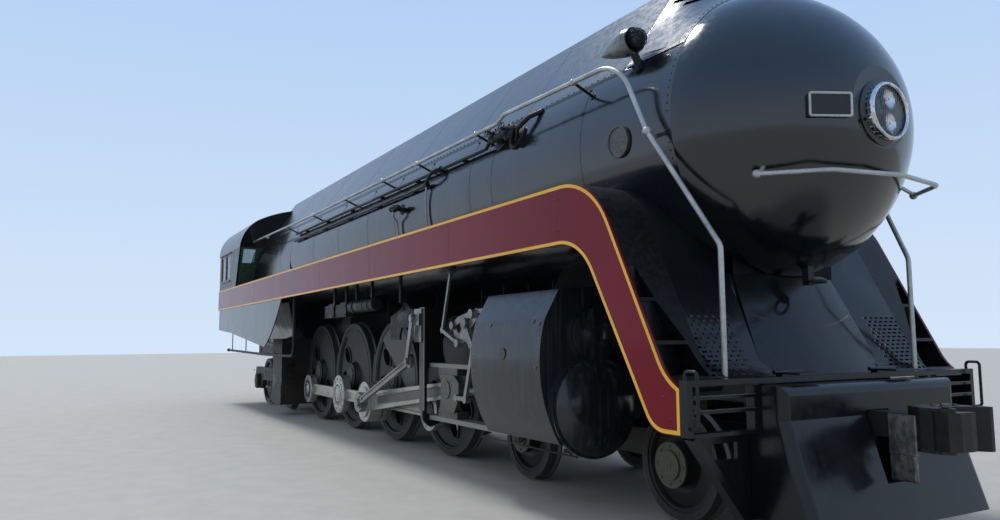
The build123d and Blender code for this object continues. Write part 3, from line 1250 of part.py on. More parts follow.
for side in SIDES:
    pin = crank_pin(side, MAIN_DRIVER_X)
    wrist = (pin[0] + sqrt(MAIN_ROD_LENGTH**2 - (WRIST_Z - pin[1]) ** 2), WRIST_Z)
    guide_y = outward(side, GUIDE_IN_Y, GUIDE_OUT_Y)
    with BuildPart() as guide_yoke:
        for z0, z1 in (GUIDE_TOP_Z, GUIDE_BOTTOM_Z):
            box(YOKE_X + YOKE_THICK, GUIDE_FRONT_X, *guide_y, z0, z1)
        with BuildSketch(across(YOKE_X)):
            with BuildLine():
                Polyline(
                    (side * 1180, YOKE_FOOT_Z),
                    (side * GUIDE_IN_Y, YOKE_FOOT_Z + 50),
                    (side * GUIDE_IN_Y, GUIDE_BOTTOM_Z[1]),
                    (side * YOKE_LEG_Y, GUIDE_BOTTOM_Z[1] + 10),
                    (side * YOKE_LEG_Y, GUIDE_TOP_Z[0] - 10),
                    (side * 1020, GUIDE_TOP_Z[0] - 10),
                    (side * 1020, 1500),
                    (side * 940, 1850),
                    (side * (FRAME_OUTER_Y + 60), 1850),
                    (side * (FRAME_OUTER_Y + 60), FRAME_TOP_Z - 60),
                    (side * FRAME_OUTER_Y, FRAME_TOP_Z - 60),
                    (side * FRAME_OUTER_Y, YOKE_TOP_Z),
                    (side * YOKE_OUTER_Y, YOKE_TOP_Z),
                    (side * YOKE_OUTER_Y, 610),
                )
                ThreePointArc((side * YOKE_OUTER_Y, 610), (side * 1275, 500),
                              (side * 1180, YOKE_FOOT_Z))
            make_face()
        extrude(amount=YOKE_THICK)
        box(YOKE_X - 45, YOKE_X + YOKE_THICK + 45, *outward(side, YOKE_OUTER_Y - 14, YOKE_OUTER_Y),
            640, YOKE_TOP_Z)
    save(guide_yoke, f"guide_yoke_{SIDE_NAME[side]}")

    with BuildPart() as crosshead:
        shoe_x = (wrist[0] - SHOE_LONG, wrist[0] + SHOE_LONG)
        box(*shoe_x, *guide_y, GUIDE_TOP_Z[0] - SHOE_HIGH, GUIDE_TOP_Z[0] - SEAT)
        box(*shoe_x, *guide_y, GUIDE_BOTTOM_Z[1] + SEAT, GUIDE_BOTTOM_Z[1] + SHOE_HIGH)
        with BuildSketch(upright(side * CROSSHEAD_Y[0])):
            with BuildLine():
                Polyline(
                    (wrist[0] - 200, GUIDE_TOP_Z[0] - 80),
                    (wrist[0] + 200, GUIDE_TOP_Z[0] - 80),
                    (wrist[0] + 330, WRIST_Z + 90),
                    (wrist[0] + 330, WRIST_Z - 90),
                    (wrist[0] + 200, GUIDE_BOTTOM_Z[1] + 70),
                    (wrist[0] - 200, GUIDE_BOTTOM_Z[1] + 70),
                    (wrist[0] - 150, WRIST_Z - 100),
                    (wrist[0] - 150, WRIST_Z + 100),
                    close=True,
                )
            make_face()
        slab(side, *CROSSHEAD_Y)
        neck_x = wrist[0] + 330
        box(neck_x - 100, neck_x, *outward(side, 1060, 1230), WRIST_Z - 90, WRIST_Z + 90)
        drum(neck_x - 30, GUIDE_FRONT_X - SEAT, side * CYLINDER_Y, WRIST_Z, 55)
        disc(*wrist, side * (MAIN_ROD_OUTER_Y + 0.5), side * WRIST_OUT_Y, WRIST_R)
        disc(*wrist, side * CROSSHEAD_Y[1], side * (CROSSHEAD_Y[1] + 10), WRIST_R + 40)
    save(crosshead, f"crosshead_{SIDE_NAME[side]}")

    run = (wrist[0] - pin[0], wrist[1] - pin[1])
    unit = (run[0] / hypot(*run), run[1] / hypot(*run))
    up = (-unit[1], unit[0])

    def on_rod(along, rise):
        """Spot in the side view at a distance along the main rod and above its middle line."""
        return (pin[0] + along * unit[0] + rise * up[0], pin[1] + along * unit[1] + rise * up[1])

    with BuildPart() as main_rod:
        with BuildSketch(upright(side * MAIN_ROD_INNER_Y)):
            with BuildLine():
                Polyline(
                    on_rod(0, ROD_BIG_HALF),
                    on_rod(MAIN_ROD_LENGTH, ROD_SMALL_HALF),
                    on_rod(MAIN_ROD_LENGTH, -ROD_SMALL_HALF),
                    on_rod(0, -ROD_BIG_HALF),
                    close=True,
                )
            make_face()
            with Locations(wrist):
                Circle(SMALL_END_R)
        slab(side, MAIN_ROD_INNER_Y, MAIN_ROD_OUTER_Y)
        with BuildSketch(upright(side * (MAIN_ROD_OUTER_Y - MAIN_FLUTE_DEPTH))):
            with BuildLine():
                start, end = BIG_END_R + 60, MAIN_ROD_LENGTH - SMALL_END_R - 60
                Polyline(
                    on_rod(start, ROD_BIG_HALF - MAIN_FLUTE_EDGE - 8),
                    on_rod(end, ROD_SMALL_HALF - MAIN_FLUTE_EDGE),
                    on_rod(end, -ROD_SMALL_HALF + MAIN_FLUTE_EDGE),
                    on_rod(start, -ROD_BIG_HALF + MAIN_FLUTE_EDGE + 8),
                    close=True,
                )
            make_face()
        slab(side, MAIN_ROD_OUTER_Y - MAIN_FLUTE_DEPTH, MAIN_ROD_OUTER_Y + 10, mode=Mode.SUBTRACT)
        disc(*pin, side * MAIN_EYE_INNER_Y, side * MAIN_EYE_OUTER_Y, BIG_END_R)
        disc(*pin, side * MAIN_EYE_INNER_Y, side * (MAIN_EYE_OUTER_Y + 22), BIG_END_R - 70)
    save(main_rod, f"main_rod_{SIDE_NAME[side]}")

# Valve gear on each side: eccentric crank and rod, gear links behind the yoke, hanger,
# gear frame and combination lever ahead of it
ECCENTRIC_R = 334
ECCENTRIC_AHEAD = 20.7
ECCENTRIC_ROD_LENGTH = 2042
GEAR_FOOT_Z = 1249
ECCENTRIC_Y = (MAIN_EYE_OUTER_Y + 22 + SEAT, 1320)
ECCENTRIC_ROD_Y = (1319, 1370)
GEAR_LINK_Y = (1369, 1405)
GEAR_LINK_HEAD = (3300, 1790)
GEAR_BRACKET_Y = (YOKE_OUTER_Y + SEAT, 1375)
HANGER_LINK_Y = (1365, 1395)
HANGER_BEARING_Y = (1340, 1420)
HANGER_HEAD = (4420, 2330)
HANGER_FOOT = (4187, 1629)
LINK_FOOT = (4592, 1478)
FRAME_PLATE_Y = (1330, 1362)
FRAME_REAR = (4471, 1679)
FRAME_TIP = (4942, 1798)
FRAME_PIVOT = (4770, 1699)
FRAME_FOOT = (4939, 1465)
COMBINATION_HEAD = (4830, 1420)
COMBINATION_FOOT = (4630, 848)
COMBINATION_Y = (1290, 1326)
VALVE_STEM_R = 42
UNION_REAR_X = 4330


def link(side, ends, radius, width, layers):
    """Flat link with round ends between two points of the side view."""
    with BuildSketch(upright(side * layers[0])) as face:
        bar(*ends, width)
        with Locations(*ends):
            Circle(radius)
    extrude(face.sketch, amount=-side * (layers[1] - layers[0]))


for side in SIDES:
    pin = crank_pin(side, MAIN_DRIVER_X)
    turn = radians(CRANK_ANGLE[side] + ECCENTRIC_AHEAD)
    small_end = (MAIN_DRIVER_X + ECCENTRIC_R * cos(turn), AXLE_Z_DRIVER + ECCENTRIC_R * sin(turn))
    rise = GEAR_FOOT_Z - small_end[1]
    gear_foot = (small_end[0] + sqrt(ECCENTRIC_ROD_LENGTH**2 - rise**2), GEAR_FOOT_Z)
    with BuildPart() as valve_gear:
        with BuildSketch(upright(side * ECCENTRIC_Y[0])):
            with Locations(pin):
                Circle(150)
            with Locations(small_end):
                Circle(90)
            make_hull()
        slab(side, *ECCENTRIC_Y)
        link(side, (small_end, gear_foot), 88, 90, ECCENTRIC_ROD_Y)
        with BuildSketch(upright(side * (ECCENTRIC_ROD_Y[1] - 14))):
            bar(between(small_end, gear_foot, 0.08), between(small_end, gear_foot, 0.92), 46)
        slab(side, ECCENTRIC_ROD_Y[1] - 14, ECCENTRIC_ROD_Y[1] + 10, mode=Mode.SUBTRACT)
        disc(*small_end, side * ECCENTRIC_ROD_Y[1], side * (ECCENTRIC_ROD_Y[1] + 25), 62)
        link(side, (gear_foot, GEAR_LINK_HEAD), 58, 84, GEAR_LINK_Y)
        disc(*gear_foot, side * ECCENTRIC_ROD_Y[1], side * (GEAR_LINK_Y[1] + 15), 40)
        disc(*GEAR_LINK_HEAD, side * GEAR_BRACKET_Y[0], side * (GEAR_LINK_Y[1] + 15), 48)
        bracket_x = (GEAR_LINK_HEAD[0] - 50, YOKE_X + YOKE_THICK + 30)
        box(*bracket_x, *outward(side, *GEAR_BRACKET_Y), GEAR_LINK_HEAD[1] - 90,
            GEAR_LINK_HEAD[1] + 60)
        box(*bracket_x, *outward(side, GEAR_BRACKET_Y[0], GEAR_BRACKET_Y[0] + 30),
            GEAR_LINK_HEAD[1] - 300, GEAR_LINK_HEAD[1] + 120)
        for ends, radius, width in (
            ((HANGER_HEAD, HANGER_FOOT), 34, 36),
            ((HANGER_FOOT, LINK_FOOT), 34, 40),
        ):
            link(side, ends, radius, width, HANGER_LINK_Y)
        disc(*HANGER_HEAD, side * HANGER_BEARING_Y[0], side * HANGER_BEARING_Y[1], 55)
        head_x = (HANGER_HEAD[0] - 45, HANGER_HEAD[0] + 45)
        box(*head_x, *outward(side, *HANGER_BEARING_Y), HANGER_HEAD[1],
            SKIRT_TOP_Z - BOARD_THICK - SEAT)
        with BuildSketch(upright(side * FRAME_PLATE_Y[0])):
            with BuildLine():
                Polyline(
                    (LINK_FOOT[0] - 60, LINK_FOOT[1] - 50),
                    (FRAME_REAR[0] - 70, FRAME_REAR[1] + 10),
                    (FRAME_REAR[0] + 60, FRAME_REAR[1] + 90),
                    (FRAME_TIP[0] + 70, FRAME_TIP[1] + 60),
                    (FRAME_TIP[0] + 90, FRAME_TIP[1] - 40),
                    (FRAME_PIVOT[0] + 100, FRAME_PIVOT[1] - 60),
                    (FRAME_FOOT[0] + 70, FRAME_FOOT[1] - 20),
                    (FRAME_FOOT[0] - 20, FRAME_FOOT[1] - 70),
                    (FRAME_PIVOT[0] - 30, FRAME_PIVOT[1] - 200),
                    close=True,
                )
            make_face()
            with Locations((FRAME_REAR[0] + 110, FRAME_REAR[1] - 30)):
                Circle(58, mode=Mode.SUBTRACT)
        slab(side, *FRAME_PLATE_Y)
        for spot, radius in ((FRAME_REAR, 46), (FRAME_TIP, 52), (FRAME_PIVOT, 60), (FRAME_FOOT, 46),
                             (LINK_FOOT, 46)):
            disc(*spot, side * FRAME_PLATE_Y[0], side * (HANGER_LINK_Y[1] + 14), radius)
        link(side, (FRAME_PIVOT, FRAME_FOOT), 40, 44, HANGER_LINK_Y)
        link(side, (FRAME_REAR, FRAME_TIP), 36, 40, (FRAME_PLATE_Y[1] - 1, FRAME_PLATE_Y[1] + 24))
        box(FRAME_TIP[0] - 40, CYLINDER_REAR_X - SEAT, *outward(side, 1200, FRAME_PLATE_Y[1]),
            FRAME_TIP[1] + 5, FRAME_TIP[1] + 50)
        box(FRAME_FOOT[0] - 40, GUIDE_FRONT_X - SEAT, *outward(side, 1260, FRAME_PLATE_Y[1]),
            FRAME_FOOT[1] - 40, FRAME_FOOT[1] + 10)
        link(side, (COMBINATION_HEAD, COMBINATION_FOOT), 44, 56, COMBINATION_Y)
        disc(*COMBINATION_HEAD, side * 1130, side * (FRAME_PLATE_Y[0] + 5), 38)
        drum(COMBINATION_HEAD[0] - 60, GUIDE_FRONT_X - SEAT, side * CYLINDER_Y, COMBINATION_HEAD[1],
             VALVE_STEM_R)
        link(side, (COMBINATION_FOOT, (UNION_REAR_X, COMBINATION_FOOT[1])), 40, 48,
             (COMBINATION_Y[0] - 36, COMBINATION_Y[0] + 1))
        crosshead_foot = outward(side, CROSSHEAD_Y[1] + SEAT, COMBINATION_Y[0] - 35)
        box(UNION_REAR_X - 90, UNION_REAR_X + 10, *crosshead_foot, COMBINATION_FOOT[1] - 40,
            COMBINATION_FOOT[1] + 40)
    save(valve_gear, f"valve_gear_{SIDE_NAME[side]}")

# Lubricators and the reservoir hung between frame and running board on each side
LUBRICATOR_X = (-480, 630)
LUBRICATOR_Z = (1889, 2089)
LUBRICATOR_Y = (1180, 1380)
RESERVOIR_X = (870, 1940)
RESERVOIR_Y = 1350
RESERVOIR_Z = 2030
RESERVOIR_R = 95
HANG_HALF = 30
BOARD_UNDER_Z = SKIRT_TOP_Z - BOARD_THICK - SEAT
with BuildPart() as lubricators:
    for side in SIDES:
        for x0, x1 in ((LUBRICATOR_X[0], LUBRICATOR_X[0] + 480),
                       (LUBRICATOR_X[1] - 520, LUBRICATOR_X[1])):
            box(x0, x1, *outward(side, *LUBRICATOR_Y), *LUBRICATOR_Z)
            drum(x1 - 5, x1 + 45, side * (sum(LUBRICATOR_Y) / 2), sum(LUBRICATOR_Z) / 2, 78)
            middle = (x0 + x1) / 2
            box(middle - 150, middle + 150, *outward(side, LUBRICATOR_Y[0] + 40,
                                                     LUBRICATOR_Y[1] - 40), LUBRICATOR_Z[1],
                LUBRICATOR_Z[1] + 35)
            box(middle - HANG_HALF, middle + HANG_HALF, *outward(side, 1262, 1298), LUBRICATOR_Z[1],
                BOARD_UNDER_Z)
save(lubricators, "lubricators")

with BuildPart() as reservoirs:
    for side in SIDES:
        drum(*RESERVOIR_X, side * RESERVOIR_Y, RESERVOIR_Z, RESERVOIR_R)
        for x in (RESERVOIR_X[0] - 24, RESERVOIR_X[1]):
            drum(x, x + 24, side * RESERVOIR_Y, RESERVOIR_Z, RESERVOIR_R - 30)
        for x in (RESERVOIR_X[0] + 200, RESERVOIR_X[1] - 200):
            drum(x - 20, x + 20, side * RESERVOIR_Y, RESERVOIR_Z, RESERVOIR_R + 10)
            box(x - 20, x + 20, *outward(side, RESERVOIR_Y - 20, RESERVOIR_Y + 20),
                RESERVOIR_Z + RESERVOIR_R, BOARD_UNDER_Z)
save(reservoirs, "reservoirs")

# Crossover bracket behind the yoke: peaked plate with an arched opening
BRACKET_Y = (1085, 1115)
BRACKET_FOOT_Z = 1519
BRACKET_HANG_Y = (1160, 1190)
with BuildPart() as link_brackets:
    for side in SIDES:
        with BuildSketch(upright(side * BRACKET_Y[0])):
            with BuildLine() as outline:
                Polyline((1859, BRACKET_FOOT_Z), (1859, 1850), (2150, 1930))
                ThreePointArc((2150, 1930), (2290, 1985), (2389, 2096))
                ThreePointArc((2389, 2096), (2520, 1980), (2680, 1930))
                Polyline(
                    (2680, 1930),
                    (YOKE_X - SEAT, 1900),
                    (YOKE_X - SEAT, 1780),
                    (2920, 1740),
                    (2920, BRACKET_FOOT_Z),
                    (1859, BRACKET_FOOT_Z),
                )
            make_face(outline.edges())
            with Locations((2400, BRACKET_FOOT_Z + 20)):
                Circle(190, mode=Mode.SUBTRACT)
        slab(side, *BRACKET_Y)
        box(2360, 2420, *outward(side, BRACKET_Y[0], BRACKET_HANG_Y[1]), 2030, 2070)
        box(2360, 2420, *outward(side, *BRACKET_HANG_Y), 2030, BOARD_UNDER_Z)
        box(1859, 2920, *outward(side, BRACKET_Y[0] - 40, BRACKET_Y[1]), 1690, 1720)
        box(2900, 2920, *outward(side, BRACKET_Y[0] - 40, BRACKET_Y[1]), 1530, 1740)
save(link_brackets, "link_brackets")

# Cab: walls and roof in one arch, leaning front wall, side windows, open back with wings
CAB_ROOF_TOP_Z = 4670
CAB_WALL_FOOT_Z = SKIRT_BOTTOM_Z
CAB_LEAN_FROM_Z = 2858
WINDOW_X = (-8790, -7640)
WINDOW_Z = (3030, 3680)
WINDOW_POST_X = -8215
WINDOW_R = 70
FRONT_PANE_Y = (1262, 1545)
FRONT_PANE_Z = (3380, 3900)
ROOF_HANG_X = 120
WING_Y = 1290
DRIP_Z = 3700
DRIP_DEEP = 28


def arch(inset):
    """Cab section in the current sketch: straight sides, corner arcs and a flat crown arc."""
    half = CAB_HALF - SEAT - inset
    bend = CAB_ROOF_BEND - inset
    top = CAB_ROOF_TOP_Z - inset
    corner_y = half - bend
    lift = top - CAB_EAVE_Z
    crown = (corner_y**2 + lift**2 - bend**2) / (2 * (lift - bend))
    centre_z = top - crown
    reach = hypot(corner_y, CAB_EAVE_Z - centre_z)
    unit = (corner_y / reach, (CAB_EAVE_Z - centre_z) / reach)
    join = (crown * unit[0], centre_z + crown * unit[1])
    half_turn = atan2(unit[1], unit[0]) / 2
    haunch = (corner_y + bend * cos(half_turn), CAB_EAVE_Z + bend * sin(half_turn))
    foot_z = CAB_WALL_FOOT_Z - (1 if inset else 0)
    with BuildLine() as outline:
        Line((half, foot_z), (half, CAB_EAVE_Z))
        ThreePointArc((half, CAB_EAVE_Z), haunch, join)
        ThreePointArc(join, (0, top), (-join[0], join[1]))
        ThreePointArc((-join[0], join[1]), (-haunch[0], haunch[1]), (-half, CAB_EAVE_Z))
        Line((-half, CAB_EAVE_Z), (-half, foot_z))
        Line((-half, foot_z), (half, foot_z))
    make_face(outline.edges())


def lean_x(z):
    """Front of the cab at a height."""
    return CAB_FRONT_X + CAB_LEAN * (z - CAB_LEAN_FROM_Z)


CAB_AHEAD_X = lean_x(CAB_ROOF_TOP_Z) + 100


def cut_front(shift):
    """Take away what lies ahead of the leaning front, moved back by a distance."""
    low, high = CAB_WALL_FOOT_Z - 100, CAB_ROOF_TOP_Z + 100
    with BuildSketch(upright(2 * CAB_HALF)) as front:
        with BuildLine() as outline:
            Polyline(
                (lean_x(low) - shift, low),
                (lean_x(high) - shift, high),
                (CAB_AHEAD_X + 500, high),
                (CAB_AHEAD_X + 500, low),
                close=True,
            )
        make_face(outline.edges())
    extrude(front.sketch, amount=4 * CAB_HALF, mode=Mode.SUBTRACT)


with BuildPart() as cab_room:
    with BuildSketch(across(CAB_REAR_X - ROOF_HANG_X - 10)):
        arch(CAB_WALL)
    extrude(amount=CAB_AHEAD_X - CAB_REAR_X)
    cut_front(CAB_WALL)

with BuildPart() as boiler_room:
    with BuildSketch(across(BACKHEAD_X - 10)):
        with Locations((0, BARREL_Z)):
            Circle(BARREL_R + SEAT)
        with Locations((0, (BARREL_Z + CAB_WALL_FOOT_Z) / 2 - 200)):
            Rectangle(2 * (BARREL_R + SEAT), BARREL_Z - CAB_WALL_FOOT_Z + 400)
    extrude(amount=CAB_AHEAD_X - BACKHEAD_X)
    with BuildSketch(across(CASING_REAR_X - SEAT)):
        casing_outline(-SEAT)
    extrude(amount=CAB_AHEAD_X - CASING_REAR_X)

with BuildPart() as cab_body:
    with BuildSketch(across(CAB_REAR_X - ROOF_HANG_X)):
        arch(0)
    extrude(amount=CAB_AHEAD_X - CAB_REAR_X)
    cut_front(0)
    add(cab_room.part, mode=Mode.SUBTRACT)
    add(boiler_room.part, mode=Mode.SUBTRACT)

with BuildPart() as cab_shell:
    add(cab_body.part)
    above = (CAB_EAVE_Z, CAB_ROOF_TOP_Z + 100)
    box(CAB_REAR_X - 500, CAB_AHEAD_X + 500, -2 * CAB_HALF, 2 * CAB_HALF, *above,
        mode=Mode.SUBTRACT)
    box(CAB_REAR_X - 500, CAB_REAR_X, -2 * CAB_HALF, 2 * CAB_HALF, 0, CAB_EAVE_Z + 1,
        mode=Mode.SUBTRACT)
    with BuildSketch(upright(2 * CAB_HALF)):
        for x0, x1 in ((WINDOW_X[0], WINDOW_POST_X - 30), (WINDOW_POST_X + 30, WINDOW_X[1])):
            with Locations(((x0 + x1) / 2, sum(WINDOW_Z) / 2)):
                RectangleRounded(x1 - x0, WINDOW_Z[1] - WINDOW_Z[0], WINDOW_R)
    extrude(amount=4 * CAB_HALF, mode=Mode.SUBTRACT)
    for side in SIDES:
        pane_y = outward(side, *FRONT_PANE_Y)
        box(CAB_FRONT_X - 200, CAB_AHEAD_X + 300, *pane_y, FRONT_PANE_Z[0], CAB_EAVE_Z - 40,
            mode=Mode.SUBTRACT)
        box(CAB_REAR_X, CAB_REAR_X + 40, *outward(side, WING_Y, CAB_HALF - CAB_WALL),
            CAB_FLOOR_Z + 60 + SEAT, CAB_EAVE_Z)
        box(CAB_REAR_X, WINDOW_X[1] + 150, *outward(side, CAB_HALF - SEAT, CAB_HALF + DRIP_DEEP),
            DRIP_Z, DRIP_Z + 14)
save(cab_shell, "cab_shell")

with BuildPart() as cab_roof:
    add(cab_body.part)
    box(CAB_REAR_X - 500, CAB_AHEAD_X + 500, -2 * CAB_HALF, 2 * CAB_HALF, 0, CAB_EAVE_Z + SEAT,
        mode=Mode.SUBTRACT)
    box(-7900, -7200, -330, 330, CAB_ROOF_TOP_Z - 30, CAB_ROOF_TOP_Z + 45)
save(cab_roof, "cab_roof")

FLOOR_THICK = 60
FLOOR_BEAM_HALF = 500
inner_half = CAB_HALF - CAB_WALL - 2 * SEAT
floor_front_x = lean_x(CAB_FLOOR_Z) - CAB_WALL - 2
with BuildPart() as cab_floor:
    box(CAB_REAR_X, BACKHEAD_X - SEAT, -inner_half, inner_half, CAB_FLOOR_Z,
        CAB_FLOOR_Z + FLOOR_THICK)
    box(CAB_REAR_X, BACKHEAD_X - SEAT, -FLOOR_BEAM_HALF, FLOOR_BEAM_HALF, FRAME_TOP_Z + SEAT,
        CAB_FLOOR_Z)
    for side in SIDES:
        box(BACKHEAD_X - 100, floor_front_x, *outward(side, BARREL_R + SEAT, inner_half),
            CAB_FLOOR_Z, CAB_FLOOR_Z + FLOOR_THICK)
save(cab_floor, "cab_floor")

# Backhead: plate with fire door, gauges, pipes, throttle and reverse levers
FLOOR_Z = CAB_FLOOR_Z + FLOOR_THICK
PLATE_X = (BACKHEAD_X - 35, BACKHEAD_X - SEAT)
PLATE_R = BARREL_R - 80
DOOR_Z = 2820
DOOR_R = 330
DOOR_LEAF_Y = 120
DOOR_LEAF_R = 195
GAUGE_TABLE = ((-520, 3820, 95), (-280, 3900, 95), (0, 3930, 120), (280, 3900, 95), (520, 3820, 95))
PIPE_TABLE = ((-820, 2700, 3700), (-640, 2950, 3600), (640, 2950, 3600), (820, 2700, 3700))
with BuildPart() as backhead:
    with BuildSketch(across(PLATE_X[0])):
        with BuildLine():
            ThreePointArc((-PLATE_R, BARREL_Z), (0, BARREL_Z + PLATE_R), (PLATE_R, BARREL_Z))
            Polyline(
                (PLATE_R, BARREL_Z),
                (PLATE_R, FLOOR_Z + SEAT),
                (-PLATE_R, FLOOR_Z + SEAT),
                (-PLATE_R, BARREL_Z),
            )
        make_face()
    extrude(amount=PLATE_X[1] - PLATE_X[0])
    drum(PLATE_X[0] - 60, PLATE_X[0], 0, DOOR_Z, DOOR_R)
    for side in SIDES:
        drum(PLATE_X[0] - 95, PLATE_X[0] - 60, side * DOOR_LEAF_Y, DOOR_Z, DOOR_LEAF_R)
    for y, z, radius in GAUGE_TABLE:
        drum(PLATE_X[0] - 110, PLATE_X[0], y, z, radius)
    for y, low_z, high_z in PIPE_TABLE:
        box(PLATE_X[0] - 60, PLATE_X[0], y - 25, y + 25, low_z, high_z)
        drum(PLATE_X[0] - 100, PLATE_X[0], y, low_z, 55)
        drum(PLATE_X[0] - 100, PLATE_X[0], y, high_z, 45)
    box(PLATE_X[0] - 90, PLATE_X[0], -420, 420, 3560, 3620)
    box(PLATE_X[0] - 420, PLATE_X[0], -690, -650, 3380, 3420)
    box(PLATE_X[0] - 420, PLATE_X[0] - 380, -700, -640, 3080, 3420)
save(backhead, "backhead")

SEAT_X = (-8350, -7850)
SEAT_Y = (1060, 1500)
SEAT_TOP_Z = 2800
CUSHION_THICK = 90
with BuildPart() as cab_seats:
    for side in SIDES:
        box(*SEAT_X, *outward(side, *SEAT_Y), SEAT_TOP_Z - 40, SEAT_TOP_Z)
        box(SEAT_X[0] + 120, SEAT_X[1] - 120, *outward(side, SEAT_Y[0] + 120, SEAT_Y[1] - 120),
            FLOOR_Z + SEAT, SEAT_TOP_Z)
        box(SEAT_X[0] - 30, SEAT_X[0], *outward(side, *SEAT_Y), SEAT_TOP_Z - 40, SEAT_TOP_Z + 420)
save(cab_seats, "cab_seats")

with BuildPart() as seat_cushions:
    for side in SIDES:
        cushion_y = outward(side, SEAT_Y[0] + 5, SEAT_Y[1] - 5)
        box(SEAT_X[0] + 75, SEAT_X[1] + 10, *cushion_y, SEAT_TOP_Z + SEAT,
            SEAT_TOP_Z + CUSHION_THICK)
        box(SEAT_X[0] + SEAT, SEAT_X[0] + 70, *cushion_y, SEAT_TOP_Z + 30, SEAT_TOP_Z + 410)
save(seat_cushions, "seat_cushions")

# Lower side panels below the skirts, from the firebox back under the cab
PANEL_Y = (SKIRT_Y - 2 * SKIRT_THICK - SEAT, SKIRT_Y - SKIRT_THICK - SEAT)
PANEL_TOP_Z = SKIRT_BOTTOM_Z + 120
PANEL_REAR = (CAB_REAR_X + 60, 1800)
with BuildPart() as side_panels:
    for side in SIDES:
        with BuildSketch(upright(side * PANEL_Y[0])):
            with BuildLine():
                ThreePointArc((-2446, SKIRT_BOTTOM_Z), (-2960, 1838), (-3769, 1391))
                Polyline(
                    (-3769, 1391),
                    (-4711, 1471),
                    (-7301, 1710),
                    PANEL_REAR,
                    (PANEL_REAR[0], CAB_WALL_FOOT_Z - SEAT),
                    (lean_x(PANEL_TOP_Z) + 2, CAB_WALL_FOOT_Z - SEAT),
                    (lean_x(PANEL_TOP_Z) + 2, PANEL_TOP_Z),
                    (-2446, PANEL_TOP_Z),
                    (-2446, SKIRT_BOTTOM_Z),
                )
            make_face()
        slab(side, *PANEL_Y)
        box(-8400, -4700, *outward(side, PANEL_Y[0] - 25, PANEL_Y[0]), 1950, 2050)
save(side_panels, "side_panels")

# Long pipes below the running boards, bent down from the boards and run back to the cab
PIPE_R = 26
PIPE_Y = 1500
PIPE_HANGERS_X = (-4600, -6200, -7800)
with BuildPart() as side_pipes:
    for side in SIDES:
        tube(
            [
                (-2000, side * PIPE_Y, BOARD_UNDER_Z),
                (-2000, side * PIPE_Y, 1230),
                (-4282, side * PIPE_Y, 1230),
                (-8258, side * PIPE_Y, 1290),
            ],
            PIPE_R,
            190,
        )
        for x in PIPE_HANGERS_X:
            z = 1230 + (x + 4282) / (-8258 + 4282) * 60
            top_z = CAB_FLOOR_Z - SEAT if x < BACKHEAD_X else BOARD_UNDER_Z
            box(x - 18, x + 18, *outward(side, PIPE_Y - 8, PIPE_Y + 8), z, top_z)
        drum(-8300, -8240, side * PIPE_Y, 1290, PIPE_R + 14)
save(side_pipes, "side_pipes")

# Handrails: from the pilot deck up the front, then along the barrel to the cab
RAIL_R = 21
STANCHION_R = 14
RAIL_FOOT = (8385, 1122)
RAIL_KNEE_Z = 2194
RAIL_Y = 1330
CLAMP_X, CLAMP_Z = 7850, 3150
RAIL_CORNER_X = 7513
RAIL_RISE = 590
RAIL_DIP = 22
RAIL_END_RISE = 632
KINK_X = (5586, 5430)
RAIL_BENDS = (130, 300, 480, 60, 60, 300)
STANCHION_X = (6851, 4953, 3299, 2035, 340, -1500, -3300, -5000)
rail_z = BARREL_Z + RAIL_RISE - RAIL_DIP
for side in SIDES:
    with BuildPart() as handrail:
        foot = (RAIL_FOOT[0], side * RAIL_FOOT[1], DECK_Z + SEAT)
        knee = (RAIL_FOOT[0], side * RAIL_FOOT[1], RAIL_KNEE_Z)
        clamp = (CLAMP_X, side * RAIL_Y, CLAMP_Z)
        corner = (RAIL_CORNER_X, side * RAIL_Y, BARREL_Z + RAIL_RISE)
        kink_top = (KINK_X[0], side * RAIL_Y, BARREL_Z + RAIL_RISE + 40)
        kink_low = (KINK_X[1], side * RAIL_Y, rail_z)
        level = (STANCHION_X[5], side * RAIL_Y, rail_z)
        end = (lean_x(BARREL_Z + RAIL_END_RISE) - 10, side * RAIL_Y, BARREL_Z + RAIL_END_RISE)
        tube([foot, knee, clamp, corner, kink_top, kink_low, level, end], RAIL_R, RAIL_BENDS)
        with Locations(clamp):
            Sphere(RAIL_R + 16)
        bracket_foot = on_barrel(degrees(atan2(RAIL_Y, CLAMP_Z - 40 - BARREL_Z)), -20)
        tube([clamp, (CLAMP_X - 40, side * bracket_foot[0], bracket_foot[1])], RAIL_R - 3, 0)
        for x in STANCHION_X:
            z = rail_z if x < KINK_X[1] else BARREL_Z + RAIL_RISE + 14
            turn = degrees(atan2(RAIL_Y, z - BARREL_Z))
            seat = on_barrel(turn, -10)
            boss = on_barrel(turn, 8)
            tube([(x, side * RAIL_Y, z), (x, side * seat[0], seat[1])], STANCHION_R, 0)
            tube([(x, side * seat[0], seat[1]), (x, side * boss[0], boss[1])], STANCHION_R + 22, 0)
            with Locations((x, side * RAIL_Y, z)):
                Sphere(RAIL_R + 11)
        for carrier in (boiler_jacket, firebox, skyline_casing, cab_body, front_apron):
            add(carrier.part, mode=Mode.SUBTRACT)
    save(handrail, f"handrail_{SIDE_NAME[side]}")

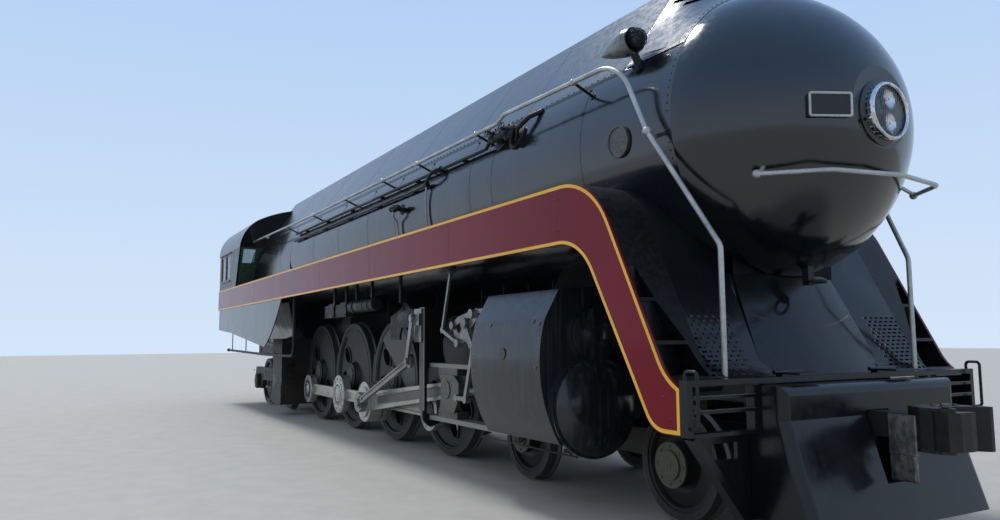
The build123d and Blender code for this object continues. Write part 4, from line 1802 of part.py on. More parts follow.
# Rail bowed round the nose on two stanchions
BOW_END = (8583, 938, 2704)
BOW_BEND = (8985, 620, 2692)
BOW_R = 18
with BuildPart() as nose_rail:
    route = [
        (BOW_END[0], -BOW_END[1], BOW_END[2]),
        (BOW_BEND[0], -BOW_BEND[1], BOW_BEND[2]),
        (BOW_BEND[0] + 110, 0, BOW_BEND[2]),
        BOW_BEND,
        BOW_END,
    ]
    tube(route, BOW_R, 170)
    for side in SIDES:
        with Locations((BOW_END[0], side * BOW_END[1], BOW_END[2])):
            Sphere(BOW_R + 15)
        tube([(8600, side * 925, 2704), (8500, side * 740, 2830)], BOW_R - 2, 0)
    add(nose_cone.part, mode=Mode.SUBTRACT)
save(nose_rail, "nose_rail")

# Lifting ring under the nose
RING_X = 8310
RING_Z = 2040
with BuildPart() as lifting_ring:
    with BuildSketch(Plane(origin=(RING_X, 0, RING_Z - 75), x_dir=(1, 0, 0), z_dir=(0, -1, 0))):
        with Locations((75, 0)):
            Circle(13)
    revolve(axis=Axis((RING_X, 0, RING_Z - 75), (0, 0, 1)), revolution_arc=360)
    box(RING_X - 105, RING_X - 45, -35, 35, RING_Z - 100, RING_Z + 500)
    add(nose_cone.part, mode=Mode.SUBTRACT)
save(lifting_ring, "lifting_ring")

# Classification lamps: bullet bodies pointing back, on feet at the casing edge
LAMP_X = 7420
LAMP_OUT = 105
LAMP_UP = 222
LAMP_R = 122
LAMP_TAIL = 400
with BuildPart() as class_lamps:
    lamp_y = CASING_EDGE_Y + LAMP_OUT - 30
    lamp_z = CASING_EDGE_Z + LAMP_UP - 40
    for side in SIDES:
        with BuildSketch(Plane(origin=(LAMP_X, side * lamp_y, lamp_z), x_dir=(1, 0, 0),
                               z_dir=(0, -1, 0))):
            with BuildLine():
                Polyline((-LAMP_TAIL, 12), (-LAMP_TAIL, 0), (70, 0), (70, LAMP_R - 14), (0, LAMP_R))
                ThreePointArc((0, LAMP_R), (-LAMP_TAIL * 0.5, LAMP_R * 0.68), (-LAMP_TAIL, 12))
            make_face()
        revolve(axis=Axis((LAMP_X, side * lamp_y, lamp_z), (1, 0, 0)), revolution_arc=360)
        drum(LAMP_X + 60, LAMP_X + 95, side * lamp_y, lamp_z, LAMP_R - 34)
        foot = on_barrel(CASING_EDGE_TURN + 2.5, -15)
        tube([(LAMP_X + 15, side * lamp_y, lamp_z - 60), (LAMP_X + 55, side * foot[0], foot[1])],
             36, 0)
        tube([(LAMP_X + 55, side * foot[0], foot[1]),
              (LAMP_X + 55, side * foot[0] * 1.035, foot[1] + 16)], 62, 0)
    add(boiler_jacket.part, mode=Mode.SUBTRACT)
    add(skyline_casing.part, mode=Mode.SUBTRACT)
save(class_lamps, "class_lamps")

# Check valves high on each side of the barrel, with the delivery pipe running back
VALVE_TURN = 67
VALVE_X = (5110, 5660)
VALVE_PROUD = 95
DELIVERY_R = 24
DELIVERY_PROUD = 42
DELIVERY_TURN = 70.5
DELIVERY_REAR_X = -3100
SMALL_VALVE_X = 1500
SMALL_VALVE_TURN = 86
with BuildPart() as boiler_valves:
    for side in SIDES:
        here = on_barrel(VALVE_TURN, VALVE_PROUD)
        there = on_barrel(VALVE_TURN, -20)
        for x, radius in ((VALVE_X[0] + 90, 78), (VALVE_X[1] - 110, 92)):
            tube([(x, side * there[0], there[1]), (x, side * here[0] * 1.035, here[1] + 24)],
                 radius, 0)
            tube([(x, side * there[0], there[1]), (x, side * on_barrel(VALVE_TURN, 14)[0],
                                                   on_barrel(VALVE_TURN, 14)[1])], radius + 45, 0)
        drum(VALVE_X[0], VALVE_X[1], side * here[0], here[1], 62)
        drum(VALVE_X[0] - 30, VALVE_X[0] + 30, side * here[0], here[1], 85)
        drum(VALVE_X[1] - 50, VALVE_X[1], side * here[0], here[1], 85)
        line = on_barrel(DELIVERY_TURN, DELIVERY_PROUD)
        drum(DELIVERY_REAR_X, VALVE_X[0] + 60, side * line[0], line[1], DELIVERY_R)
        for x in range(DELIVERY_REAR_X + 300, VALVE_X[0] - 500, 1350):
            clip = on_barrel(DELIVERY_TURN, -12)
            tube([(x, side * clip[0], clip[1]), (x, side * line[0], line[1])], DELIVERY_R + 10, 0)
        foot = on_barrel(SMALL_VALVE_TURN, -15)
        head = on_barrel(SMALL_VALVE_TURN - 2, 190)
        collar = on_barrel(SMALL_VALVE_TURN, 16)
        tube([(SMALL_VALVE_X, side * foot[0], foot[1]),
              (SMALL_VALVE_X, side * collar[0], collar[1])], 70, 0)
        tube([(SMALL_VALVE_X, side * foot[0], foot[1]), (SMALL_VALVE_X, side * head[0], head[1])],
             26, 0)
        drum(SMALL_VALVE_X - 130, SMALL_VALVE_X + 110, side * head[0], head[1], 44)
        drum(SMALL_VALVE_X - 20, SMALL_VALVE_X + 20, side * head[0], head[1], 66)
    for carrier in (boiler_jacket, firebox):
        add(carrier.part, mode=Mode.SUBTRACT)
save(boiler_valves, "boiler_valves")

# Grab irons curved down at the outer ends of the pilot deck
with BuildPart() as pilot_grabs:
    for side in SIDES:
        y = side * (SKIRT_Y - POST_THICK / 2)
        top_z = DECK_Z + 60
        tube(
            [
                (STEP_BLOCK_X[0] + 30, y, DECK_Z + SEAT),
                (STEP_BLOCK_X[0] + 30, y, top_z),
                (STEP_BLOCK_X[1] + 70, y, top_z),
                (STEP_BLOCK_X[1] + 70, y, STEP_BLOCK_Z + 60),
                (STEP_BLOCK_X[1] + SEAT, y, STEP_BLOCK_Z + 60),
            ],
            12,
            30,
        )
save(pilot_grabs, "pilot_grabs")
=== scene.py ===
from math import atan2, cos, degrees, exp, hypot, pi, radians, sin

import bmesh
import bpy
from mathutils import Matrix, Vector
from mathutils.bvhtree import BVHTree


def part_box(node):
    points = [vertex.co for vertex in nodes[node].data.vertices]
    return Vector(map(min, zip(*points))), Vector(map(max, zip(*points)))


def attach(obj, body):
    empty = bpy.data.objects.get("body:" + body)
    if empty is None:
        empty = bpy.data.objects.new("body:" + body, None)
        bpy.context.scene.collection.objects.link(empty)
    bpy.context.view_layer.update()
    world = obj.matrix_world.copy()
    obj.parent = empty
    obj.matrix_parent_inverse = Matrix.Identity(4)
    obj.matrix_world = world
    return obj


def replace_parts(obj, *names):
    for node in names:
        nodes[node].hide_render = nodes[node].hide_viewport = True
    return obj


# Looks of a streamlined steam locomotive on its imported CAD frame. Metres.
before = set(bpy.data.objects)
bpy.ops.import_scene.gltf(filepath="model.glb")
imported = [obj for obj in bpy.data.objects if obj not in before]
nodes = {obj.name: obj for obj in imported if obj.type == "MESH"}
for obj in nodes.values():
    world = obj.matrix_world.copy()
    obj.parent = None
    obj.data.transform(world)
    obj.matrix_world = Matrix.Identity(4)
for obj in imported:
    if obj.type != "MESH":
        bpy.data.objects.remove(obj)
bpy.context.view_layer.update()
scene = bpy.context.scene
SIDES = (("right", -1), ("left", 1))
AHEAD, BACK, UP, DOWN = (1, 0, 0), (-1, 0, 0), (0, 0, 1), (0, 0, -1)
BARREL_R, BARREL_Z = 1.220, 3.238
DRIVER_X, AXLE_Z, THROW = (3.190, 1.285, -0.620, -2.525), 0.917, 0.406
CRANK = {"right": radians(234.75), "left": radians(324.75)}
LEAD_X, LEAD_Z = (7.528, 5.153), 0.485
TRAIL_X, TRAIL_Z = (-4.960, -6.886), 0.561
WRIST_Z, MAIN_ROD = 0.920, 2.958
LIGHT_Z = 3.191
CAMERA_AT = (12.5105, -5.3146, 1.5239)


# ---- materials ----
class Graph:
    """Short calls that add nodes to a tree and give their outputs."""

    def __init__(self, tree):
        self.tree = tree

    def link(self, source, target):
        if isinstance(source, (int, float)):
            target.default_value = source
        elif isinstance(source, (tuple, list)):
            target.default_value = (*source, 1)[:len(target.default_value)]
        else:
            self.tree.links.new(source, target)

    def node(self, kind, **inputs):
        node = self.tree.nodes.new("ShaderNode" + kind)
        for name, value in inputs.items():
            self.link(value, node.inputs[name])
        return node

    def span(self, value, low, high, to_low=0.0, to_high=1.0):
        node = self.node("MapRange")
        for number, socket in zip((value, low, high, to_low, to_high), node.inputs):
            self.link(number, socket)
        return node.outputs[0]

    def maths(self, operation, a, b=0.0):
        node = self.node("Math")
        node.operation = operation
        self.link(a, node.inputs[0])
        self.link(b, node.inputs[1])
        return node.outputs[0]

    def times(self, a, b):
        return self.maths("MULTIPLY", a, b)

    def plus(self, a, b):
        return self.maths("ADD", a, b)

    def number_mix(self, share, a, b, kind="FLOAT", first=2, out=0):
        node = self.node("Mix")
        node.data_type = kind
        for place, value in ((0, share), (first, a), (first + 1, b)):
            self.link(value, node.inputs[place])
        return node.outputs[out]

    def mix(self, share, a, b):
        """Blend of two colours."""
        return self.number_mix(share, a, b, "RGBA", 6, 2)

    def patches(self, value, low, high, a, b):
        """Blend of two colours by where a value lies in a range."""
        return self.mix(self.span(value, low, high), a, b)

    def split(self, vector):
        return self.node("SeparateXYZ", Vector=vector).outputs


class Paint(Graph):
    """A node material whose colour, roughness and bump vary over the piece."""

    def __init__(self, name, metallic=0.0, specular=0.5):
        self.material = bpy.data.materials.new(name)
        self.material.use_nodes = True
        super().__init__(self.material.node_tree)
        self.shader = self.tree.nodes["Principled BSDF"].inputs
        self.shader["Metallic"].default_value = metallic
        self.shader["Specular IOR Level"].default_value = specular
        self.place = self.node("TexCoord").outputs["Object"]
        self.normal = None

    def noise(self, scale, detail=4.0, stretch=(1, 1, 1)):
        mapping = self.node("Mapping", Scale=stretch, Vector=self.place)
        return self.node("TexNoise", Scale=scale, Detail=detail, Roughness=0.55,
                         Vector=mapping.outputs[0]).outputs[0]

    def axes(self):
        return self.split(self.place)

    def across(self):
        """Distance from the engine's middle plane."""
        return self.maths("ABSOLUTE", self.axes()[1])

    def upward(self):
        return self.split(self.node("NewGeometry").outputs["Normal"])[2]

    def bump(self, height, distance, strength=1.0):
        node = self.node("Bump", Strength=strength, Distance=distance, Height=height)
        if self.normal is not None:
            self.link(self.normal, node.inputs["Normal"])
        self.normal = node.outputs[0]

    def finish(self, colour, rough, metallic=None):
        for name, value in (("Base Color", colour), ("Roughness", rough), ("Metallic", metallic),
                            ("Normal", self.normal)):
            if value is not None:
                self.link(value, self.shader[name])
        return self.material


DUST = (0.20, 0.17, 0.13)


def enamel(name, dark, light, rough, wave=0.0012, dust=0.06, streaks=0.10, grain=0.00001, specular=0.38):
    """Gloss paint on sheet metal: slow waves, run marks, faint orange peel and dust on top."""
    paint = Paint(name, specular=specular)
    broad = paint.noise(0.9, 3)
    fine = paint.noise(16, 5)
    runs = paint.noise(5, 4, (5.0, 5.0, 0.16))
    tone = paint.patches(broad, 0.35, 0.7, dark, light)
    marks = paint.times(paint.span(runs, 0.5, 0.75), streaks)
    tone = paint.mix(marks, tone, [c * 2.0 + 0.002 for c in light])
    top = paint.span(paint.upward(), 0.55, 1.0)
    film = paint.times(paint.times(top, paint.span(fine, 0.35, 0.75)), dust)
    tone = paint.mix(film, tone, DUST)
    paint.bump(paint.noise(1.3, 2), wave * 8)
    paint.bump(paint.noise(180, 2), grain)
    worn = paint.number_mix(paint.span(fine, 0.3, 0.7), rough[0], rough[1])
    return paint.finish(tone, paint.plus(worn, paint.times(film, 0.8)))


def satin(name, dark, light, rough=(0.40, 0.62), dust=0.2, grit=0.0003, low_dust=0.25):
    """Dull paint on castings: fine grit, oil stains and brown dust, more of it low down."""
    paint = Paint(name, specular=0.35)
    broad = paint.noise(3.0, 4)
    fine = paint.noise(38, 6)
    tone = paint.patches(broad, 0.35, 0.7, dark, light)
    top = paint.span(paint.upward(), 0.3, 1.0)
    low = paint.span(paint.axes()[2], 1.5, 0.1, 0.0, low_dust)
    layer = paint.plus(paint.times(top, dust), paint.times(low, 0.5))
    film = paint.times(layer, paint.span(fine, 0.3, 0.75))
    tone = paint.mix(film, tone, DUST)
    oil = paint.span(paint.noise(2.2, 5), 0.56, 0.7)
    paint.bump(paint.noise(160, 4), grit)
    dull = paint.number_mix(oil, paint.number_mix(paint.span(fine, 0.3, 0.7), rough[0], rough[1]), 0.24)
    return paint.finish(tone, dull)


def steel(name, dark, light, rough=(0.3, 0.5), metallic=0.6, brush=(3, 60, 60), stain=0.6):
    """Machined steel: tool marks along it, dried oil and a little rust."""
    paint = Paint(name, metallic=metallic)
    lines = paint.noise(9, 3, brush)
    broad = paint.noise(2.6, 5)
    tone = paint.patches(lines, 0.3, 0.7, dark, light)
    oil = paint.times(paint.span(broad, 0.5, 0.72), stain)
    tone = paint.mix(oil, tone, (0.075, 0.062, 0.045))
    rust = paint.times(paint.span(paint.noise(13, 6), 0.6, 0.75), stain * 0.5)
    tone = paint.mix(rust, tone, (0.17, 0.085, 0.04))
    paint.bump(lines, 0.0002)
    paint.bump(paint.noise(220, 3), 0.0001)
    shine = paint.number_mix(paint.span(broad, 0.3, 0.7), rough[0], rough[1])
    return paint.finish(tone, shine)


def silver():
    """Worn bright rail on dark brackets: dull sheen, chips and grime."""
    paint = Paint("silver_paint", metallic=0.55)
    broad = paint.noise(4, 4)
    fine = paint.noise(60, 5)
    tone = paint.patches(broad, 0.3, 0.7, (0.30, 0.31, 0.31), (0.52, 0.54, 0.54))
    grime = paint.times(paint.span(fine, 0.52, 0.7), 0.5)
    tone = paint.mix(grime, tone, (0.16, 0.15, 0.13))
    paint.bump(fine, 0.0002)
    axes = paint.axes()
    bracket = paint.times(paint.span(paint.across(), 1.304, 1.300),
                          paint.span(axes[0], 6.98, 6.95))
    tone = paint.mix(bracket, tone, (0.012, 0.011, 0.010))
    return paint.finish(tone, paint.span(broad, 0.3, 0.7, 0.26, 0.42))


def main_rod_paint(name, low_end, high_end):
    """Bright rod, darker along the flute that runs down it."""
    paint = Paint(name, metallic=0.75)
    axes = paint.axes()
    run = Vector(high_end) - Vector(low_end)
    length = run.length
    run.normalize()
    x = paint.maths("SUBTRACT", axes[0], low_end[0])
    z = paint.maths("SUBTRACT", axes[2], low_end[1])
    off = paint.maths("ABSOLUTE", paint.maths("SUBTRACT", paint.times(z, run.x),
                                              paint.times(x, run.y)))
    along = paint.plus(paint.times(x, run.x), paint.times(z, run.y))
    flute = paint.times(paint.span(off, 0.062, 0.052),
                        paint.times(paint.span(along, 0.42, 0.46),
                                    paint.span(along, length - 0.30, length - 0.34)))
    lines = paint.noise(9, 3, (3, 60, 60))
    tone = paint.patches(lines, 0.3, 0.7, (0.36, 0.355, 0.325), (0.60, 0.59, 0.545))
    oil = paint.times(paint.span(paint.noise(2.6, 5), 0.5, 0.72), 0.45)
    tone = paint.mix(oil, tone, (0.075, 0.062, 0.045))
    tone = paint.mix(paint.times(flute, 0.72), tone, (0.06, 0.055, 0.045))
    paint.bump(paint.times(flute, -1.0), 0.012)
    paint.bump(lines, 0.0002)
    return paint.finish(tone, paint.number_mix(flute, paint.span(lines, 0.3, 0.7, 0.24, 0.42), 0.5))


def lamp_paint():
    """Silver-grey bullet of the class lamp on a black foot."""
    paint = Paint("lamp_body_silver", metallic=0.55)
    broad = paint.noise(7, 4)
    tone = paint.patches(broad, 0.3, 0.7, (0.13, 0.14, 0.14), (0.27, 0.28, 0.28))
    grime = paint.times(paint.span(paint.noise(24, 5), 0.5, 0.7), 0.6)
    tone = paint.mix(grime, tone, (0.03, 0.03, 0.028))
    axes = paint.axes()
    foot = paint.maths("MAXIMUM", paint.span(axes[2], 3.952, 3.946), paint.span(axes[0], 7.478, 7.482))
    paint.bump(broad, 0.0006)
    return paint.finish(paint.mix(foot, tone, (0.008, 0.0085, 0.010)),
                        paint.span(broad, 0.3, 0.7, 0.24, 0.4))


def wheel_paint(name, x, z, radius, tyre, cap_radius, cap_out, grey_from=9.0):
    """Black centre, worn steel tyre, bright tread and an olive-grey cap on the axle end."""
    paint = Paint(name, specular=0.35)
    axes = paint.axes()
    across = paint.across()
    away_x = paint.maths("SUBTRACT", axes[0], x)
    away_z = paint.maths("SUBTRACT", axes[2], z)
    reach = paint.maths("SQRT", paint.plus(paint.times(away_x, away_x),
                                            paint.times(away_z, away_z)))
    fine = paint.noise(45, 5)
    broad = paint.noise(3.2, 4)
    black = paint.patches(broad, 0.35, 0.7, (0.004, 0.004, 0.005), (0.014, 0.013, 0.012))
    dusty = paint.times(paint.span(fine, 0.35, 0.75), 0.07)
    black = paint.mix(dusty, black, DUST)
    grey = paint.patches(fine, 0.3, 0.7, (0.060, 0.062, 0.062), (0.115, 0.118, 0.115))
    proud = paint.times(paint.span(across, grey_from, grey_from + 0.002),
                        paint.span(reach, 0.205, 0.208))
    tone = paint.mix(proud, black, grey)
    olive = paint.patches(fine, 0.3, 0.7, (0.052, 0.056, 0.036), (0.092, 0.096, 0.066))
    cap = paint.times(paint.span(reach, cap_radius + 0.002, cap_radius),
                      paint.span(across, cap_out - 0.04, cap_out - 0.038))
    tone = paint.mix(cap, tone, olive)
    rim = paint.span(reach, radius - tyre - 0.001, radius - tyre + 0.001)
    rim_tone = paint.patches(fine, 0.3, 0.7, (0.020, 0.018, 0.017), (0.060, 0.056, 0.052))
    tone = paint.mix(rim, tone, rim_tone)
    tread = paint.span(reach, radius - 0.014, radius - 0.004)
    tone = paint.mix(tread, tone, (0.11, 0.108, 0.10))
    paint.bump(fine, 0.0005)
    dull = paint.number_mix(tread, paint.span(fine, 0.3, 0.7, 0.4, 0.62), 0.42)
    metal = paint.plus(paint.times(rim, 0.45), paint.times(tread, 0.35))
    return paint.finish(tone, dull, metal)


def skirt_paint():
    """Maroon enamel on the outer face of the skirt, black on the boards and behind it."""
    paint = Paint("skirt_maroon", specular=0.2)
    across = paint.across()
    broad = paint.noise(0.8, 4)
    fine = paint.noise(22, 5)
    runs = paint.noise(6, 4, (1.5, 1.5, 0.1))
    red = paint.patches(broad, 0.35, 0.7, (0.150, 0.0040, 0.0125), (0.190, 0.0060, 0.0180))
    red = paint.mix(paint.times(paint.span(runs, 0.5, 0.8), 0.15), red, (0.21, 0.014, 0.028))
    black = paint.patches(fine, 0.3, 0.7, (0.004, 0.0045, 0.006), (0.011, 0.0115, 0.013))
    top = paint.times(paint.span(paint.upward(), 0.7, 1.0), 0.18)
    black = paint.mix(paint.times(top, paint.span(fine, 0.3, 0.8)), black, DUST)
    face = paint.span(across, 1.6405, 1.6415)
    paint.bump(paint.noise(1.5, 2), 0.006)
    paint.bump(paint.noise(180, 2), 0.00002)
    rough = paint.number_mix(face, paint.span(fine, 0.3, 0.7, 0.28, 0.45),
                             paint.span(fine, 0.3, 0.7, 0.08, 0.16))
    return paint.finish(paint.mix(face, black, red), rough)


def cab_paint():
    """Black enamel outside, dark green inside the walls."""
    paint = Paint("cab_walls", specular=0.35)
    axes = paint.axes()
    across = paint.across()
    fine = paint.noise(20, 5)
    broad = paint.noise(1.1, 3)
    black = paint.patches(broad, 0.35, 0.7, (0.004, 0.0045, 0.006), (0.010, 0.011, 0.014))
    green = paint.patches(fine, 0.3, 0.7, (0.020, 0.045, 0.032), (0.045, 0.085, 0.062))
    inside = paint.span(across, 1.5985, 1.5965)
    low = paint.span(axes[2], 3.75, 3.74)
    paint.bump(paint.noise(1.3, 2), 0.008)
    paint.bump(paint.noise(180, 2), 0.00002)
    tone = paint.mix(paint.times(inside, low), black, green)
    return paint.finish(tone, paint.span(fine, 0.3, 0.7, 0.2, 0.36))


def guide_paint():
    """Black yoke with a bright worn edge, and machined guide bars."""
    paint = Paint("guide_yoke_paint", metallic=0.2, specular=0.3)
    axes = paint.axes()
    across = paint.across()
    fine = paint.noise(40, 5)
    lines = paint.noise(9, 3, (3, 60, 60))
    black = paint.patches(fine, 0.3, 0.75, (0.005, 0.005, 0.006), (0.016, 0.015, 0.013))
    bright = paint.patches(lines, 0.3, 0.7, (0.15, 0.148, 0.135), (0.34, 0.335, 0.31))
    edge = paint.times(paint.span(across, 1.297, 1.299), 0.4)
    bars = paint.span(axes[0], 3.47, 3.475)
    share = paint.maths("MAXIMUM", edge, bars)
    paint.bump(fine, 0.0004)
    return paint.finish(paint.mix(share, black, bright), paint.span(fine, 0.3, 0.7, 0.34, 0.56))


def leather():
    """Black grained leather, shiny where it is sat on."""
    paint = Paint("seat_leather_black")
    cells = paint.node("TexVoronoi", Scale=240, Vector=paint.place)
    fine = paint.noise(30, 5)
    tone = paint.patches(fine, 0.3, 0.7, (0.012, 0.011, 0.010), (0.040, 0.036, 0.032))
    paint.bump(cells.outputs["Distance"], 0.0012, 0.6)
    paint.bump(paint.noise(9, 3), 0.004)
    return paint.finish(tone, paint.span(fine, 0.3, 0.7, 0.34, 0.55))


def glass(name, tint=(0.93, 0.96, 0.97), ribs=0.0):
    """Clear glass, with pressed ribs where asked."""
    paint = Paint(name)
    paint.shader["Transmission Weight"].default_value = 1.0
    paint.shader["IOR"].default_value = 1.45
    smear = paint.noise(6, 4)
    if ribs:
        wave = paint.node("TexWave", Scale=ribs, Vector=paint.place)
        wave.bands_direction = "Y"
        paint.bump(wave.outputs[1], 0.0012)
    dirt = paint.patches(smear, 0.4, 0.75, tint, [c * 0.85 for c in tint])
    return paint.finish(dirt, paint.span(smear, 0.35, 0.75, 0.02, 0.10))


BLACK = enamel("boiler_enamel", (0.0030, 0.0038, 0.0055), (0.0080, 0.0095, 0.0130), (0.10, 0.20),
               specular=0.95)
NOSE = enamel("nose_enamel", (0.0024, 0.0028, 0.0038), (0.0055, 0.0062, 0.0085), (0.09, 0.19),
              wave=0.0010, dust=0.10, streaks=0.05, specular=0.85)
CASING = enamel("casing_enamel", (0.0040, 0.0050, 0.0070), (0.0085, 0.0100, 0.0135), (0.17, 0.25),
                dust=0.03, streaks=0.0, specular=0.85)
# Painted shade: near-black enamel with little gloss. On the sheet under the nose it reads as the shadow there;
# on the casing rivets it makes them show as dark dots.
SHADE_BLACK = enamel("painted_shade_black", (0.0012, 0.0014, 0.0018), (0.0026, 0.0030, 0.0036), (0.3, 0.5),
                dust=0.0, streaks=0.0, specular=0.08)
APRON = enamel("apron_enamel", (0.0035, 0.0050, 0.0075), (0.0090, 0.0115, 0.0155), (0.09, 0.18),
               wave=0.0022, specular=0.36)
PILOT = enamel("pilot_enamel", (0.0035, 0.0045, 0.0062), (0.0080, 0.0095, 0.0125), (0.16, 0.28),
               dust=0.12, streaks=0.2)
CYLINDER = enamel("cylinder_jacket", (0.0060, 0.0080, 0.0105), (0.0170, 0.0200, 0.0240), (0.13, 0.24),
                  dust=0.05, streaks=1.0, wave=0.0004, specular=0.6)
SATIN = satin("frame_satin", (0.0040, 0.0042, 0.0048), (0.0130, 0.0125, 0.0115))
GRIMY = satin("truck_satin", (0.0045, 0.0042, 0.0040), (0.0170, 0.0150, 0.0130), dust=0.3, low_dust=0.4)
ROD = steel("rod_steel", (0.36, 0.355, 0.325), (0.60, 0.59, 0.545), (0.24, 0.42), 0.75, stain=0.45)
BRIGHT = steel("bright_steel", (0.32, 0.32, 0.305), (0.58, 0.58, 0.56), (0.18, 0.34), 0.85, stain=0.3)
DULL = steel("dull_steel", (0.075, 0.074, 0.070), (0.16, 0.155, 0.145), (0.32, 0.5), 0.6)
SILVER = silver()
CHROME = steel("lamp_chrome_plate", (0.62, 0.62, 0.62), (0.74, 0.74, 0.75), (0.08, 0.2),
               1.0, (1, 1, 1), 0.12)
LAMP_GREY = lamp_paint()
WORN = steel("worn_casting", (0.035, 0.035, 0.037), (0.27, 0.27, 0.27), (0.25, 0.45),
             0.7, (2.5, 2.5, 1.6), 0.7)
PIPE = steel("pale_pipe", (0.24, 0.25, 0.25), (0.40, 0.41, 0.41), (0.3, 0.45), 0.3, (6, 6, 6), 0.3)
VALVE = steel("valve_steel", (0.15, 0.15, 0.14), (0.38, 0.38, 0.365), (0.2, 0.38), 0.8, stain=0.6)
GREASY = steel("greasy_steel", (0.045, 0.043, 0.038), (0.17, 0.165, 0.145), (0.24, 0.5),
               0.6, (6, 6, 6), 0.9)
BRASS = steel("gauge_brass", (0.44, 0.29, 0.09), (0.62, 0.43, 0.16), (0.2, 0.38), 0.9, (1, 1, 1), 0.3)
COPPER = steel("pipe_copper", (0.42, 0.17, 0.08), (0.58, 0.26, 0.13), (0.26, 0.45), 0.85, (1, 1, 1), 0.4)
GOLD = enamel("stripe_gold", (0.80, 0.42, 0.035), (0.92, 0.54, 0.060), (0.24, 0.38),
              wave=0.0, dust=0.1, streaks=0.0)
SEAM = enamel("skirt_seam_dark", (0.040, 0.0015, 0.004), (0.06, 0.0025, 0.006), (0.25, 0.4), wave=0.0)
MAROON = enamel("sash_maroon", (0.112, 0.0035, 0.011), (0.150, 0.0055, 0.016), (0.2, 0.34), wave=0.0)
RED = enamel("handle_red", (0.34, 0.014, 0.012), (0.45, 0.025, 0.02), (0.25, 0.4), wave=0.0)
WHITE = enamel("dial_white", (0.66, 0.66, 0.62), (0.76, 0.76, 0.72), (0.3, 0.45), wave=0.0, dust=0.1)
CAST = satin("backhead_iron", (0.012, 0.012, 0.012), (0.040, 0.037, 0.034), (0.4, 0.62),
             dust=0.2, low_dust=0.0)
GREEN = enamel("cab_green", (0.020, 0.045, 0.032), (0.045, 0.080, 0.058), (0.3, 0.48), wave=0.0, dust=0.4)
PLATE = enamel("plate_dark", (0.010, 0.012, 0.014), (0.024, 0.026, 0.029), (0.3, 0.46), wave=0.0)
BRONZE = steel("plate_worn_bronze", (0.05, 0.05, 0.046), (0.15, 0.15, 0.14), (0.3, 0.45),
               0.5, (6, 6, 6), 0.4)
LEATHER = leather()
LENS = glass("lamp_lens", ribs=14.0)
CLEAR = glass("pane_glass", (0.88, 0.93, 0.92))
SMOKED = glass("cab_pane_glass", (0.26, 0.31, 0.31))
SKIRT = skirt_paint()
CAB = cab_paint()
GUIDE = guide_paint()


# ---- mesh helpers ----
def show(name, data):
    """Object of the scene that shows a mesh, a lamp or a camera."""
    piece = bpy.data.objects.new(name, data)
    scene.collection.objects.link(piece)
    return piece


def turns(count, start=0.0):
    """Even angles round a circle."""
    return [start + 2 * pi * k / count for k in range(count)]


def circle_of(centre, u, w, radius, count, start=0.0):
    """Points of a circle in the plane of two directions."""
    return [centre + u * radius * cos(turn) + w * radius * sin(turn) for turn in turns(count, start)]


def polar(radius, turn, ahead=0.0):
    """Step from a centre, in a plane that faces along the engine."""
    return Vector((ahead, radius * cos(turn), radius * sin(turn)))


def across_frame(axis):
    """An axis and two directions square to it."""
    axis = Vector(axis).normalized()
    helper = Vector(UP if abs(axis.z) < 0.9 else AHEAD)
    u = axis.cross(helper).normalized()
    return axis, u, axis.cross(u)


